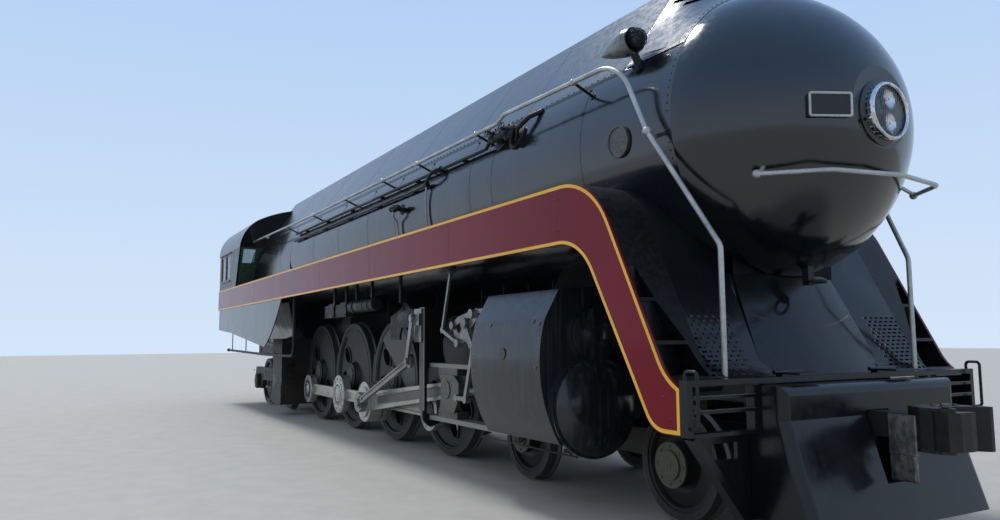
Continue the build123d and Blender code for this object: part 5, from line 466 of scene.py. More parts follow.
class Heap:
    """Many small solids gathered into one piece of the scene."""

    def __init__(self):
        self.verts = []
        self.faces = []

    def put(self, verts, faces):
        base = len(self.verts)
        self.verts += [tuple(v) for v in verts]
        self.faces += [[base + i for i in face] for face in faces]

    def strip(self, rows, closed=False):
        """Quads between rows of points; a closed row joins its ends."""
        count = len(rows[0])
        faces = []
        for r in range(0, (len(rows) - 1) * count, count):
            for i in range(count if closed else count - 1):
                j = (i + 1) % count
                faces.append([r + i, r + j, r + count + j, r + count + i])
        self.put([p for row in rows for p in row], faces)

    def turned(self, at, axis, profile, sides=16):
        """Revolve (radius, height) pairs about an axis through a place."""
        axis, u, w = across_frame(axis)
        rings, verts, faces = [], [], []
        for radius, height in profile:
            centre = Vector(at) + axis * height
            first = len(verts)
            verts += circle_of(centre, u, w, radius, sides) if radius else [centre]
            rings.append(range(first, len(verts)))
        for low, high in zip(rings, rings[1:]):
            for k in range(sides):
                n = (k + 1) % sides
                if len(low) == 1:
                    faces.append([low[0], high[k], high[n]])
                elif len(high) == 1:
                    faces.append([low[k], low[n], high[0]])
                else:
                    faces.append([low[k], low[n], high[n], high[k]])
        self.put(verts, faces)

    def rivet(self, at, axis, radius, height):
        self.turned(at, axis, [(radius, -0.002), (radius, 0), (radius * 0.72, height * 0.72), (0, height)],
                    8)

    def rivet_on(self, seat, radius, height):
        """Rivet where a surface was met, if it was."""
        if seat:
            self.rivet(*seat, radius, height)

    def bolt(self, at, axis, radius, height):
        """Hexagonal head on a thin washer."""
        self.turned(at, axis, [(radius * 1.35, -0.002), (radius * 1.35, height * 0.22),
                               (radius, height * 0.22)], 12)
        self.turned(at, axis, [(radius, height * 0.2), (radius, height * 0.88), (radius * 0.8, height),
                               (0, height)], 6)

    def ring_of_bolts(self, at, axis, circle, count, radius, height, start=0.0):
        axis, u, w = across_frame(axis)
        for spot in circle_of(Vector(at), u, w, circle, count, start):
            self.bolt(spot, axis, radius, height)

    def tube(self, points, radius, sides=10, closed=False):
        """Round bar through points, its rings carried along without twist."""
        points = [Vector(p) for p in points]
        count = len(points)
        runs = []
        for i in range(count):
            ahead = points[(i + 1) % count] if closed or i < count - 1 else points[i]
            back = points[i - 1] if closed or i else points[i]
            runs.append((ahead - back).normalized())
        u = across_frame(runs[0])[1]
        verts, faces = [], []
        for spot, run in zip(points, runs):
            u = (u - run * u.dot(run)).normalized()
            w = run.cross(u)
            verts += circle_of(spot, u, w, radius, sides)
        for i in range(count if closed else count - 1):
            j = (i + 1) % count
            for k in range(sides):
                n = (k + 1) % sides
                faces.append([i * sides + k, i * sides + n, j * sides + n, j * sides + k])
        if not closed:
            faces.append(list(range(sides))[::-1])
            faces.append(list(range(len(verts) - sides, len(verts))))
        self.put(verts, faces)

    def block(self, low, high, bevel):
        """Box between two corners with chamfered edges."""
        low, high = (Vector([pick(a, b) for a, b in zip(low, high)]) for pick in (min, max))
        mesh = bmesh.new()
        bmesh.ops.create_cube(mesh, size=1)
        for v in mesh.verts:
            v.co = Vector([low[i] + (v.co[i] + 0.5) * (high[i] - low[i]) for i in range(3)])
        limit = min(high - low) * 0.3
        bmesh.ops.bevel(mesh, geom=mesh.edges[:], offset=min(bevel, limit), segments=1, affect="EDGES")
        mesh.verts.index_update()
        self.put([v.co for v in mesh.verts], [[v.index for v in f.verts] for f in mesh.faces])
        mesh.free()

    def done(self, name, material, slot="frame_black", body="engine", smooth=True):
        """Make the piece; it rides on a body. The slot argument is not used."""
        mesh = bpy.data.meshes.new(name)
        mesh.from_pydata(self.verts, [], self.faces)
        work = bmesh.new()
        work.from_mesh(mesh)
        bmesh.ops.recalc_face_normals(work, faces=work.faces)
        work.to_mesh(mesh)
        work.free()
        piece = show(name, mesh)
        mesh.materials.append(material)
        if smooth:
            mesh.polygons.foreach_set("use_smooth", [True] * len(mesh.polygons))
            mesh.set_sharp_from_angle(angle=radians(35))
        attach(piece, body)
        return piece


def tree_of(*names):
    verts, faces = [], []
    for name in names:
        mesh = nodes[name].data
        base = len(verts)
        verts += [nodes[name].matrix_world @ v.co for v in mesh.vertices]
        faces += [[base + i for i in p.vertices] for p in mesh.polygons]
    return BVHTree.FromPolygons(verts, faces)


def meet(tree, origin, way):
    """Spot and facing normal where a line meets a surface, or None."""
    way = Vector(way)
    spot, normal, _, _ = tree.ray_cast(Vector(origin), way)
    if spot is not None:
        return spot, (normal if normal.dot(way) < 0 else -normal)


def seat_on(tree, x, turn, side):
    """Spot and outward normal on the shell at a place along it and an angle from the top."""
    out = Vector((0, side * sin(radians(turn)), cos(radians(turn))))
    return meet(tree, Vector((x, 0, BARREL_Z)) + out * 1.7, -out)


def barrel(x, turn, proud, side):
    """Place on the barrel, or proud of it, at an angle from its top."""
    reach = BARREL_R + proud
    return Vector((x, side * reach * sin(radians(turn)), BARREL_Z + reach * cos(radians(turn))))


def rounded(points, radii, step=6.0):
    """Straight runs in the side view joined by arcs, as a list of points."""
    out = [Vector(points[0])]
    for before, corner, after, radius in zip(points, points[1:], points[2:], radii):
        before, corner, after = Vector(before), Vector(corner), Vector(after)
        a = (before - corner).normalized()
        b = (after - corner).normalized()
        half = a.angle(b) / 2
        reach = radius / abs(sin(half)) * cos(half)
        centre = corner + (a + b).normalized() * (radius / sin(half))
        first, last = corner + a * reach, corner + b * reach
        start = atan2(first.y - centre.y, first.x - centre.x)
        sweep = atan2(last.y - centre.y, last.x - centre.x) - start
        sweep = (sweep + pi) % (2 * pi) - pi
        count = max(2, int(abs(degrees(sweep)) / step))
        for k in range(count + 1):
            turn = start + sweep * k / count
            out.append(Vector((centre.x + radius * cos(turn), centre.y + radius * sin(turn))))
    out.append(Vector(points[-1]))
    return out


def inset(loop, depth):
    """Closed outline moved inwards by a depth; the loop runs clockwise."""
    moved = []
    count = len(loop)
    for i, spot in enumerate(loop):
        back = (spot - loop[i - 1]).normalized()
        ahead = (loop[(i + 1) % count] - spot).normalized()
        n1 = Vector((back.y, -back.x))
        n2 = Vector((ahead.y, -ahead.x))
        moved.append(spot + (n1 + n2) * depth / (1 + n1.dot(n2)))
    return moved


# ---- gold edging of the skirts ----
TOP_LINE = rounded([(-9.014, 2.818), (7.544, 2.818), (8.361, 1.258), (8.495, 1.181)], (0.730, 0.430))
UNDER_LINE = rounded([(8.495, 0.866), (8.209, 0.866), (7.366, 2.310), (-9.014, 2.310)], (0.226, 0.520))
SKIRT_LOOP = TOP_LINE + UNDER_LINE
SKIRT_Y = 1.660
SKIRT_JOINTS = (-7.35, -4.72, -2.35, 0.085, 2.455, 4.93, 7.04)
for word, side in SIDES:
    band = Heap()
    outer, inner = inset(SKIRT_LOOP, 0.004), inset(SKIRT_LOOP, 0.032)
    band.strip([[(p.x, side * (SKIRT_Y + lift), p.y) for p in loop] for loop, lift in (
        (outer, -0.0005), (outer, 0.0010), (inner, 0.0010), (inner, -0.0005))], closed=True)
    band.done(f"skirt_gold_edge_{word}", GOLD, "maroon", smooth=False)

    seams, bolts = Heap(), Heap()
    for x in SKIRT_JOINTS:
        seams.block((x - 0.003, side * (SKIRT_Y - 0.001), 2.345),
                    (x + 0.003, side * (SKIRT_Y + 0.0007), 2.783), 0.0003)
    seams.done(f"skirt_seams_{word}", SEAM, "maroon", smooth=False)
    for x, z in ((8.329, 1.116), (8.404, 0.966), *((SKIRT_JOINTS[-1] + shift, z) for z in (2.70, 2.43)
                                                  for shift in (-0.03, 0.03))):
        bolts.rivet((x, side * SKIRT_Y, z), (0, side, 0), 0.011, 0.005)
    for x in SKIRT_JOINTS[:-1]:
        for shift in (-0.03, 0.03):
            for z in (2.40, 2.564, 2.73):
                bolts.rivet((x + shift, side * SKIRT_Y, z), (0, side, 0), 0.007, 0.003)
    bolts.done(f"skirt_rivets_{word}", SKIRT, "maroon")

# ---- rivets, bands and seams of boiler, casing and nose ----
casing = tree_of("skyline_casing")
shell = tree_of("boiler_jacket", "firebox")
nose = tree_of("nose_cone")
rivets, bands, edge_strip = Heap(), Heap(), Heap()
for _, side in SIDES:
    for i in range(146):
        rivets.rivet_on(seat_on(casing, -6.36 + 0.0985 * i, 57.0, side), 0.012, 0.009)
    for x in (-4.35, -2.10, 0.15, 2.40, 4.30, 5.55, 7.22):
        for turn in range(8, 56, 2):
            for shift in (-0.022, 0.022):
                rivets.rivet_on(seat_on(casing, x + shift, turn + 0.6, side), 0.006, 0.003)
    for tree, angles in ((casing, range(10, 58, 3)), (shell, range(60, 118, 3))):
        for turn in angles:
            rivets.rivet_on(seat_on(tree, 7.965, turn, side), 0.008, 0.004)

    for x in (-6.02, -4.334, -3.480, -1.846, -0.35, 1.10, 2.212, 3.273, 4.538, 5.068, 6.762):
        half = 0.030 if x == -3.480 else 0.025
        rows = []
        for found in [seat_on(shell, x + 0.001, 59.4 + k * 2.5, side) for k in range(21)]:
            if found:
                out = Vector((0, found[1].y, found[1].z)).normalized()
                rows.append([found[0] + out * lift + Vector((shift, 0, 0)) for shift, lift in (
                    (-half, -0.002), (-half, 0.0025), (half, 0.0025), (half, -0.002))])
        bands.strip(rows)
        for turn in (61.0, 106.0):
            found = seat_on(shell, x + 0.001, turn, side)
            if found:
                bands.bolt(found[0] + found[1] * 0.0025, found[1], 0.011, 0.010)

    rows = []
    for i in range(59):
        pair = [seat_on(casing, -6.38 + i * 0.2478, turn, side) for turn in (56.2, 58.0)]
        if all(pair):
            rows.append([spot + normal * lift for (spot, normal), lifts in
                         zip(pair, ((0.0, 0.003), (0.003, 0.0))) for lift in lifts])
    edge_strip.strip(rows)
# The casing rivets are near-black with little gloss: painted shade, so they show as dark dots.
rivets.done("casing_rivets", SHADE_BLACK, "boiler_black")
bands.done("jacket_bands", BLACK, "boiler_black", smooth=False)
edge_strip.done("casing_edge_strip", CASING, "boiler_black", smooth=False)

# ---- check valves, delivery pipes and small valves on the barrel ----
UPPER_PIPE, LOWER_PIPE = 70.5, 77.4
for word, side in SIDES:
    valve, drain = Heap(), Heap()

    def stem(x, turn, profile, sides=24):
        foot = barrel(x, turn, -0.015, side)
        valve.turned(foot, barrel(x, turn, 1, side) - foot, profile, sides)
    def pipe(heap, spots, radius, sides=12):
        heap.tube([barrel(*spot, side) for spot in spots], radius, sides)

    stem(5.22, 68, [(0.125, 0), (0.125, 0.034), (0.112, 0.042), (0.060, 0.052), (0.052, 0.080),
                    (0.078, 0.105), (0.084, 0.130), (0.070, 0.155), (0.050, 0.168), (0.050, 0.180),
                    (0.030, 0.188), (0.013, 0.190), (0.013, 0.232), (0, 0.234)])
    stem(5.56, 70, [(0.140, 0), (0.140, 0.036), (0.126, 0.044), (0.070, 0.056), (0.060, 0.084),
                    (0.088, 0.108), (0.096, 0.136), (0.080, 0.164), (0.056, 0.176), (0.056, 0.190),
                    (0.034, 0.198), (0.015, 0.200), (0.015, 0.246), (0, 0.248)])
    for x, turn, circle, at, count in ((5.22, 68, 0.103, 0.038, 8), (5.56, 70, 0.116, 0.040, 8),
                                       (5.22, 68, 0.062, 0.160, 6), (5.56, 70, 0.068, 0.170, 6)):
        foot = barrel(x, turn, -0.015, side)
        way = (barrel(x, turn, 1, side) - foot).normalized()
        valve.ring_of_bolts(foot + way * at, way, circle, count, 0.010, 0.011)
    for x, turn, radius, at in ((5.22, 68, 0.055, 0.226), (5.56, 70, 0.062, 0.240)):
        foot = barrel(x, turn, -0.015, side)
        axis, u, w = across_frame(barrel(x, turn, 1, side) - foot)
        hub = foot + axis * at
        valve.tube(circle_of(hub, u, w, radius, 20), 0.006, 8, closed=True)
        for k in range(4):
            out = u * cos(pi * k / 2) + w * sin(pi * k / 2)
            valve.tube([hub, hub + out * radius], 0.004, 6)
    pipe(valve, [(x, 69, 0.105) for x in (5.15, 5.30, 5.45, 5.62)], 0.050, 16)
    pipe(valve, [(5.61, 73.4, 0.040), (5.66, 68.5, 0.085), (5.78, 62.8, 0.060), (5.90, 58.8, 0.0)], 0.026)
    pipe(valve, [(5.58, 74.5, -0.01), (5.60, 74.5, 0.08), (5.64, 71.5, 0.12)], 0.024)
    pipe(valve, [(5.18, 69, 0.105), (5.06, 69.8, 0.085), (4.95, UPPER_PIPE, 0.046)]
         + [(4.80 - i * 0.79, UPPER_PIPE, 0.042) for i in range(11)], 0.022)
    pipe(valve, [(3.72, UPPER_PIPE, 0.042), (3.70, UPPER_PIPE + 0.6, 0.085), (3.64, UPPER_PIPE + 2.6, 0.112),
                 (3.52, UPPER_PIPE + 5.2, 0.100), (3.40, LOWER_PIPE, 0.060), (3.28, LOWER_PIPE, 0.040)]
         + [(3.1 - i * 0.775, LOWER_PIPE, 0.036) for i in range(9)], 0.020)
    for x, turn, radius in ((3.72, UPPER_PIPE, 0.040), (3.40, LOWER_PIPE, 0.036)):
        pipe(valve, [(x - 0.03, turn, 0.044), (x + 0.03, turn, 0.044)], radius)
    for x in (4.35, 2.95, 1.60, 0.25, -1.10, -2.45):
        for turn in (UPPER_PIPE, LOWER_PIPE):
            if turn == UPPER_PIPE or x < 3.2:
                pipe(valve, [(x, turn, -0.012), (x, turn, 0.040)], 0.030)
    stem(2.53, 86, [(0.075, 0), (0.075, 0.024), (0.034, 0.030), (0.030, 0.090), (0.052, 0.104),
                    (0.062, 0.128), (0.052, 0.152), (0.030, 0.164), (0.012, 0.168), (0.012, 0.196),
                    (0, 0.198)])
    hub = barrel(2.53, 86, 0.112, side)
    for way in (-1, 1):
        valve.turned(hub, (way, 0, 0), [(0.036, 0.0), (0.036, 0.060), (0.026, 0.066), (0.022, 0.110),
                                        (0.034, 0.116), (0.034, 0.134), (0.016, 0.140), (0.012, 0.176),
                                        (0, 0.178)], 16)
    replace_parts(valve.done(f"boiler_valves_{word}", SATIN), "boiler_valves")
    below = [(2.45, 94, 0.045), (2.44, 100, 0.040), (2.44, 106, 0.040), (2.44, 109.5, 0.040)]
    drain.tube([hub + Vector((-0.02, 0, -0.04)), hub + Vector((-0.06, 0, -0.10)),
                *(barrel(*spot, side) for spot in below)], 0.015, 12)
    pipe(drain, [(3.40, 78.4, 0.044), (3.40, 84, 0.034), (3.40, 92, 0.032), (3.40, 100, 0.034),
                 (3.40, 109.5, 0.038)], 0.014)
    drain.done(f"barrel_drain_pipes_{word}", PIPE, "bare_steel")

waist = Heap()
for x in (-1.572, 0.333, 2.238, 3.62, 4.20, 4.78, 5.30):
    waist.block((x - 0.006, -0.56, 1.28), (x + 0.006, 0.56, 2.155), 0.001)
waist.done("waist_sheets", SATIN)

# Closing sheet under the nose, near-black with little gloss: painted shade, so the gap under the nose reads as
# shadow.
shade_sheet = Heap()
rows = []
for k in range(41):
    y = -0.60 + 0.03 * k
    under = BARREL_Z - (BARREL_R ** 2 - y * y) ** 0.5 + 0.02
    rows.append([(7.990, y, under), (7.990, y, 2.025), (7.998, y, 2.025), (7.998, y, under)])
shade_sheet.strip(rows)
shade_sheet.done("apron_painted_shade_sheet", SHADE_BLACK, "boiler_black", smooth=False)

# ---- plates ----
def plate_on(name, tree, origin, target, wide, high, field, rim, lift, oval=False):
    """Blank plate with a raised rim, laid on a surface where a line meets it."""
    spot, normal = meet(tree, origin, (Vector(target) - Vector(origin)).normalized())
    right = Vector(UP).cross(normal).normalized()
    up = normal.cross(right).normalized()
    corner = 0.018

    def outline(grow, at):
        flat = []
        if oval:
            flat = [((wide / 2 + grow) * cos(turn), (high / 2 + grow) * sin(turn)) for turn in turns(48)]
        else:
            for cx, cy, start in ((1, 1, 0), (-1, 1, 90), (-1, -1, 180), (1, -1, 270)):
                for turn in [radians(start + 22.5 * k) for k in range(5)]:
                    flat.append((cx * (wide / 2 - corner) + (corner + grow) * cos(turn),
                                 cy * (high / 2 - corner) + (corner + grow) * sin(turn)))
        return [spot + normal * lift + right * x + up * y + normal * at for x, y in flat]

    face, edge = Heap(), Heap()
    face.strip([outline(0, -lift - 0.03), outline(0, 0.002)], closed=True)
    half = len(face.verts) // 2
    face.faces.append([half + i for i in range(half)])
    face.done(name + "_field", field, smooth=False)
    edge.strip([outline(*step) for step in ((0.002, -0.002), (0.002, 0.010), (-0.004, 0.013),
                                            (-0.014, 0.010), (-0.016, 0.001))], closed=True)
    edge.done(name + "_rim", rim, "lamp_chrome")


plate_on("number_plate", nose, CAMERA_AT, (8.8873, -0.4977, 3.2009), 0.325, 0.180, PLATE, SILVER, 0.022)
plate_on("round_plate", shell, (7.362, -3.0, 3.184), (7.362, -1.0, 3.184), 0.275, 0.275, BRONZE, BRONZE,
         0.014, oval=True)

# ---- headlight ----
LIGHT = Vector((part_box("headlight")[1].x - 0.083, 0, LIGHT_Z))
RING_R = 0.220
housing = Heap()
housing.turned((8.900, 0, LIGHT_Z), AHEAD, [
    (0, 0), (0.2543, 0), (0.2543, 0.066), (0.2500, 0.072), (0.2300, 0.077), (0.2150, 0.084),
    (0.2130, 0.094), (0.2130, 0.132), (0.1900, 0.132), (0.1900, 0.080), (0, 0.080)], 72)
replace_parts(housing.done("headlight_housing", NOSE, "lamp_chrome"), "headlight")
rim = Heap()
rim.turned(LIGHT - Vector((0.024, 0, 0)), AHEAD, [
    (0.2125, -0.030), (0.2175, -0.026), (RING_R, -0.010), (RING_R, 0.010), (0.2140, 0.019), (0.2080, 0.024),
    (0.1990, 0.022), (0.1940, 0.014), (0.1900, 0.004), (0.1890, -0.020)], 72)
for turn in turns(28):
    spot = LIGHT + polar(0.2145, turn, -0.050)
    rim.block(spot - Vector((0.018, 0.007, 0.007)), spot + Vector((0.020, 0.007, 0.007)), 0.0015)
rim.ring_of_bolts(LIGHT - Vector((0.001, 0, 0)), AHEAD, 0.2075, 12, 0.006, 0.005)
for turn in (radians(20), radians(200)):
    rim.turned(LIGHT + polar(0.232, turn, -0.030) - Vector((0.022, 0, 0)), AHEAD, [
        (0.011, 0), (0.013, 0.004), (0.013, 0.034), (0.009, 0.040), (0, 0.041)], 14)
rim.done("headlight_rim", CHROME, "lamp_chrome")
lens = Heap()
lens.turned(LIGHT - Vector((0.024, 0, 0)), AHEAD, [
    (0.192, -0.003), (0.192, 0.003), (0.15, 0.008), (0.07, 0.013), (0, 0.014)], 72)
lens.done("headlight_glass", LENS, "lamp_chrome")
lamps = Heap()
for step in (-1, 1):
    at = Vector((8.9855, 0, LIGHT_Z + step * 0.092))
    lamps.turned(at, AHEAD, [(0.076, -0.006), (0.083, 0.004), (0.080, 0.016), (0.072, 0.012),
                             (0.05, 0.000), (0.02, -0.003), (0, -0.003)], 40)
    lamps.turned(at, AHEAD, [(0.014, 0), (0.014, 0.016), (0, 0.020)], 16)
lamps.done("headlight_reflectors", CHROME, "lamp_chrome")

# ---- class lamps: lens behind a wire cage ----
cages, class_glass = Heap(), Heap()
lamp_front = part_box("class_lamps")[1].x
for _, side in SIDES:
    at = Vector((lamp_front, side * 1.1254, 4.0637))
    class_glass.turned(at, AHEAD, [(0.074, -0.002), (0.066, 0.018), (0.045, 0.032), (0.02, 0.038),
                                   (0, 0.039)], 32)
    for turn in [pi * k / 6 for k in range(6)]:
        cages.tube([at + Vector((0.052 * cos(lean), 0.084 * sin(lean) * cos(turn),
                                 0.084 * sin(lean) * sin(turn)))
                    for lean in [-pi / 2 + pi * i / 12 for i in range(13)]], 0.0035, 6)
    for radius, ahead in ((0.084, 0.0), (0.062, 0.035), (0.03, 0.049)):
        cages.tube([at + polar(radius, turn, ahead) for turn in turns(24)], 0.0035, 6, closed=True)
cages.done("class_lamp_cages", SATIN)
class_glass.done("class_lamp_glass", CLEAR, "lamp_chrome")

# ---- cab windows ----
WINDOWS = ((-8.790, -8.238), (-8.192, -7.640))
sashes, panes = Heap(), Heap()
for _, side in SIDES:
    for x0, x1 in WINDOWS:
        z0, z1 = 3.030, 3.680
        bar, y0, y1 = 0.045, 1.602, 1.632
        for a, b in (((x0, z0), (x1, z0 + bar)), ((x0, z1 - bar), (x1, z1)), ((x0, z0), (x0 + bar, z1)),
                     ((x1 - bar, z0), (x1, z1))):
            sashes.block((a[0], side * y0, a[1]), (b[0], side * y1, b[1]), 0.004)
        panes.block((x0 + bar - 0.006, side * 1.614, z0 + bar - 0.006),
                    (x1 - bar + 0.006, side * 1.619, z1 - bar + 0.006), 0.0008)
    sashes.block((-8.80, side * 1.640, 2.992), (-7.63, side * 1.668, 3.022), 0.006)
sashes.done("cab_window_sashes", MAROON, "maroon")
for _, side in SIDES:
    lean = [(-6.9 + 0.45 * (z - 2.858) - 0.012, z) for z in (3.375, 3.905)]
    corners = [(x + back, side * y, z) for back in (0.0, -0.005) for y, (x, z) in (
        (1.257, lean[0]), (1.550, lean[0]), (1.550, lean[1]), (1.257, lean[1]))]
    panes.put(corners, [[0, 1, 2, 3], [7, 6, 5, 4], [0, 4, 5, 1], [1, 5, 6, 2], [2, 6, 7, 3], [3, 7, 4, 0]])
panes.done("cab_window_glass", SMOKED, "lamp_chrome")

cab_rivets = Heap()
for _, side in SIDES:
    for k in range(33):
        cab_rivets.rivet((-8.97 + k * 0.0595, side * 1.640, 2.90), (0, side, 0), 0.006, 0.003)
    for k in range(12):
        for x in (-8.975, -7.36):
            cab_rivets.rivet((x, side * 1.640, 2.93 + k * 0.066), (0, side, 0), 0.006, 0.003)
cab_rivets.done("cab_rivets", BLACK, "boiler_black")

# ---- backhead fittings ----
PLATE_X = -7.335
dials, rims, needles, wheels, pipes = Heap(), Heap(), Heap(), Heap(), Heap()
for y, z, radius in ((-0.52, 3.82, 0.095), (-0.28, 3.90, 0.095), (0, 3.93, 0.120), (0.28, 3.90, 0.095),
                     (0.52, 3.82, 0.095)):
    face = Vector((PLATE_X - 0.110, y, z))
    dials.turned(face, BACK, [(radius - 0.012, -0.002), (radius - 0.012, 0.0015), (0, 0.0015)], 40)
    rims.turned(face, BACK, [(radius + 0.004, -0.02), (radius + 0.004, 0.008), (radius - 0.004, 0.013),
                             (radius - 0.012, 0.008), (radius - 0.013, 0.0)], 40)
    for turn in [radians(-135 + 27 * k) for k in range(11)]:
        out = Vector((0, sin(turn), cos(turn)))
        needles.tube([face + out * (radius * share) - Vector((0.003, 0, 0)) for share in (0.68, 0.82)],
                     0.0012, 5)
    turn = radians(-60 + 50 * y)
    out = Vector((0, sin(turn), cos(turn)))
    needles.tube([face - out * 0.02 - Vector((0.0045, 0, 0)),
                  face + out * radius * 0.66 - Vector((0.0045, 0, 0))], 0.002, 6)
    needles.turned(face - Vector((0.002, 0, 0)), BACK, [(0.009, 0), (0.009, 0.006), (0, 0.007)], 12)
for y, z, radius in ((-0.82, 3.70, 0.075), (-0.64, 3.60, 0.06), (0.64, 3.60, 0.06), (0.82, 3.70, 0.075),
                     (-0.82, 2.70, 0.08), (0.82, 2.70, 0.08)):
    hub = Vector((PLATE_X - 0.15, y, z))
    wheels.tube([hub + polar(radius, turn) for turn in turns(24)], 0.008, 8, closed=True)
    for k in range(4):
        wheels.tube([hub, hub + polar(radius, pi / 2 * k + pi / 4)], 0.005, 6)
    wheels.tube([hub - Vector((0.012, 0, 0)), hub + Vector((0.055, 0, 0))], 0.010, 8)
for y, low_z, high_z, drop in ((-0.45, 2.5, 3.50, 0.05), (0.45, 2.5, 3.50, 0.05), (-0.95, 2.5, 3.3, 0.04),
                               (0.95, 2.5, 3.3, 0.04), (-0.18, 3.68, 3.80, 0.06), (0.18, 3.68, 3.80, 0.06)):
    pipes.tube([(PLATE_X - drop, y, low_z), (PLATE_X - drop, y, (low_z + high_z) / 2),
                (PLATE_X - drop, y * 0.98, high_z - 0.05),
                (PLATE_X - drop * 0.6, y * 0.95, high_z)], 0.011, 10)
for y in (-0.30, -0.10, 0.10, 0.30):
    pipes.tube([(PLATE_X - 0.06, y, 3.62), (PLATE_X - 0.07, y, 3.72), (PLATE_X - 0.07, y * 1.1, 3.79)],
               0.009, 10)
dials.done("gauge_faces", WHITE, "cast_iron", smooth=False)
rims.done("gauge_rims", BRASS, "cast_iron")
needles.done("gauge_needles", SATIN, "cast_iron")
wheels.done("valve_handwheels", RED, "cast_iron")
pipes.done("backhead_pipes", COPPER, "cast_iron")
stays = Heap()
for i in range(13):
    for k in range(11):
        y, z = -0.96 + i * 0.16, 2.46 + k * 0.16
        if hypot(y, max(z - BARREL_Z, 0)) < 1.09 and hypot(y, z - 2.82) > 0.37:
            stays.turned((PLATE_X, y, z), BACK, [(0.012, -0.002), (0.010, 0.007), (0, 0.009)], 8)
stays.turned((PLATE_X - 0.0945, 0, 2.82), BACK, [(0.02, 0), (0.02, 0.02), (0, 0.024)], 12)
for _, side in SIDES:
    stays.block((PLATE_X - 0.125, side * 0.30, 2.79), (PLATE_X - 0.093, side * 0.19, 2.85), 0.006)
stays.done("backhead_stay_heads", CAST, "cast_iron")

# ---- seat cushions: remeshed pads blown up as cloth, then sewn ----
def cushion(name, low, high, axis):
    """Stuffed pad between two corners, with two sewn channels and piping round its edges."""
    low, high = Vector(low), Vector(high)
    middle = (low + high) / 2
    mesh = bmesh.new()
    bmesh.ops.create_cube(mesh, size=1)
    for v in mesh.verts:
        for i in range(3):
            v.co[i] = middle[i] + v.co[i] * (high[i] - low[i] - 0.026)
    bmesh.ops.bevel(mesh, geom=mesh.edges[:], offset=0.010, segments=2, affect="EDGES")
    data = bpy.data.meshes.new(name)
    mesh.to_mesh(data)
    mesh.free()
    piece = show(name, data)
    grid = piece.modifiers.new("grid", "REMESH")
    grid.mode = "VOXEL"
    grid.voxel_size = 0.011
    shown = bpy.context.evaluated_depsgraph_get()
    fine = bpy.data.meshes.new_from_object(piece.evaluated_get(shown))
    piece.modifiers.clear()
    piece.data = fine
    start = [v.co.copy() for v in fine.vertices]
    cloth = piece.modifiers.new("cloth", "CLOTH")
    cloth.settings.quality = 6
    cloth.settings.mass = 0.3
    cloth.settings.use_pressure = True
    cloth.settings.uniform_pressure_force = 4
    cloth.settings.effector_weights.gravity = 0
    cloth.point_cache.frame_start, cloth.point_cache.frame_end = 1, 20
    for frame_number in range(1, 21):
        scene.frame_set(frame_number)
    blown = piece.evaluated_get(bpy.context.evaluated_depsgraph_get()).to_mesh()
    for v, b, s in zip(fine.vertices, blown.vertices, start):
        move = b.co - s
        if move.length > 0.014:
            move *= 0.014 / move.length
        v.co = s + move
    piece.evaluated_get(bpy.context.evaluated_depsgraph_get()).to_mesh_clear()
    piece.modifiers.clear()
    scene.frame_set(1)
    flat = [i for i in range(3) if i != axis]
    for v in fine.vertices:
        away = abs(v.co[axis] - middle[axis]) / (high[axis] - low[axis]) * 2
        for share in (-1 / 3, 1 / 3):
            off = v.co[flat[0]] - middle[flat[0]] - share * (high[flat[0]] - low[flat[0]]) / 2
            v.co[axis] -= (v.co[axis] - middle[axis]) * 0.16 * exp(-(off / 0.013) ** 2) * min(1, away)
        for i in range(3):
            v.co[i] = min(max(v.co[i], low[i]), high[i])
    fine.materials.clear()
    fine.materials.append(LEATHER)
    fine.polygons.foreach_set("use_smooth", [True] * len(fine.polygons))
    smooth = piece.modifiers.new("smooth", "SUBSURF")
    smooth.levels = smooth.render_levels = 1
    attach(piece, "engine")
    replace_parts(piece, "seat_cushions")
    skin = BVHTree.FromPolygons([v.co for v in fine.vertices], [list(p.vertices) for p in fine.polygons])
    piping = Heap()
    for at in (0.30, 0.70):
        route = []
        for k in range(44):
            turn = 2 * pi * k / 44
            spot = middle.copy()
            spot[axis] = low[axis] + (high[axis] - low[axis]) * at
            way = Vector((0, 0, 0))
            way[flat[0]], way[flat[1]] = cos(turn), sin(turn)
            found, _, _, _ = skin.ray_cast(spot + way, -way)
            if found is not None:
                route.append(found)
        piping.tube(route, 0.0040, 6, closed=True)
    piping.done(name + "_piping", LEATHER, "seat_leather")


for word, side in SIDES:
    near, far = sorted((side * 1.065, side * 1.495))
    cushion(f"seat_pad_{word}", (-8.275, near, 2.8003), (-7.840, far, 2.890), 2)
    cushion(f"back_pad_{word}", (-8.3497, near, 2.830), (-8.280, far, 3.210), 0)

# ---- running gear trim ----
for number, x in enumerate(DRIVER_X, start=1):
    trim = Heap()
    for _, side in SIDES:
        trim.ring_of_bolts((x, side * 0.874, AXLE_Z), (0, side, 0), 0.098, 8, 0.011, 0.009)
        trim.turned((x, side * 0.874, AXLE_Z), (0, side, 0), [(0.045, -0.001), (0.045, 0.004),
                                                              (0.036, 0.006), (0.034, -0.001)], 32)
    trim.done(f"driver_{number}_cap_bolts", DULL, "tyre_steel", body=f"driver_{number}")

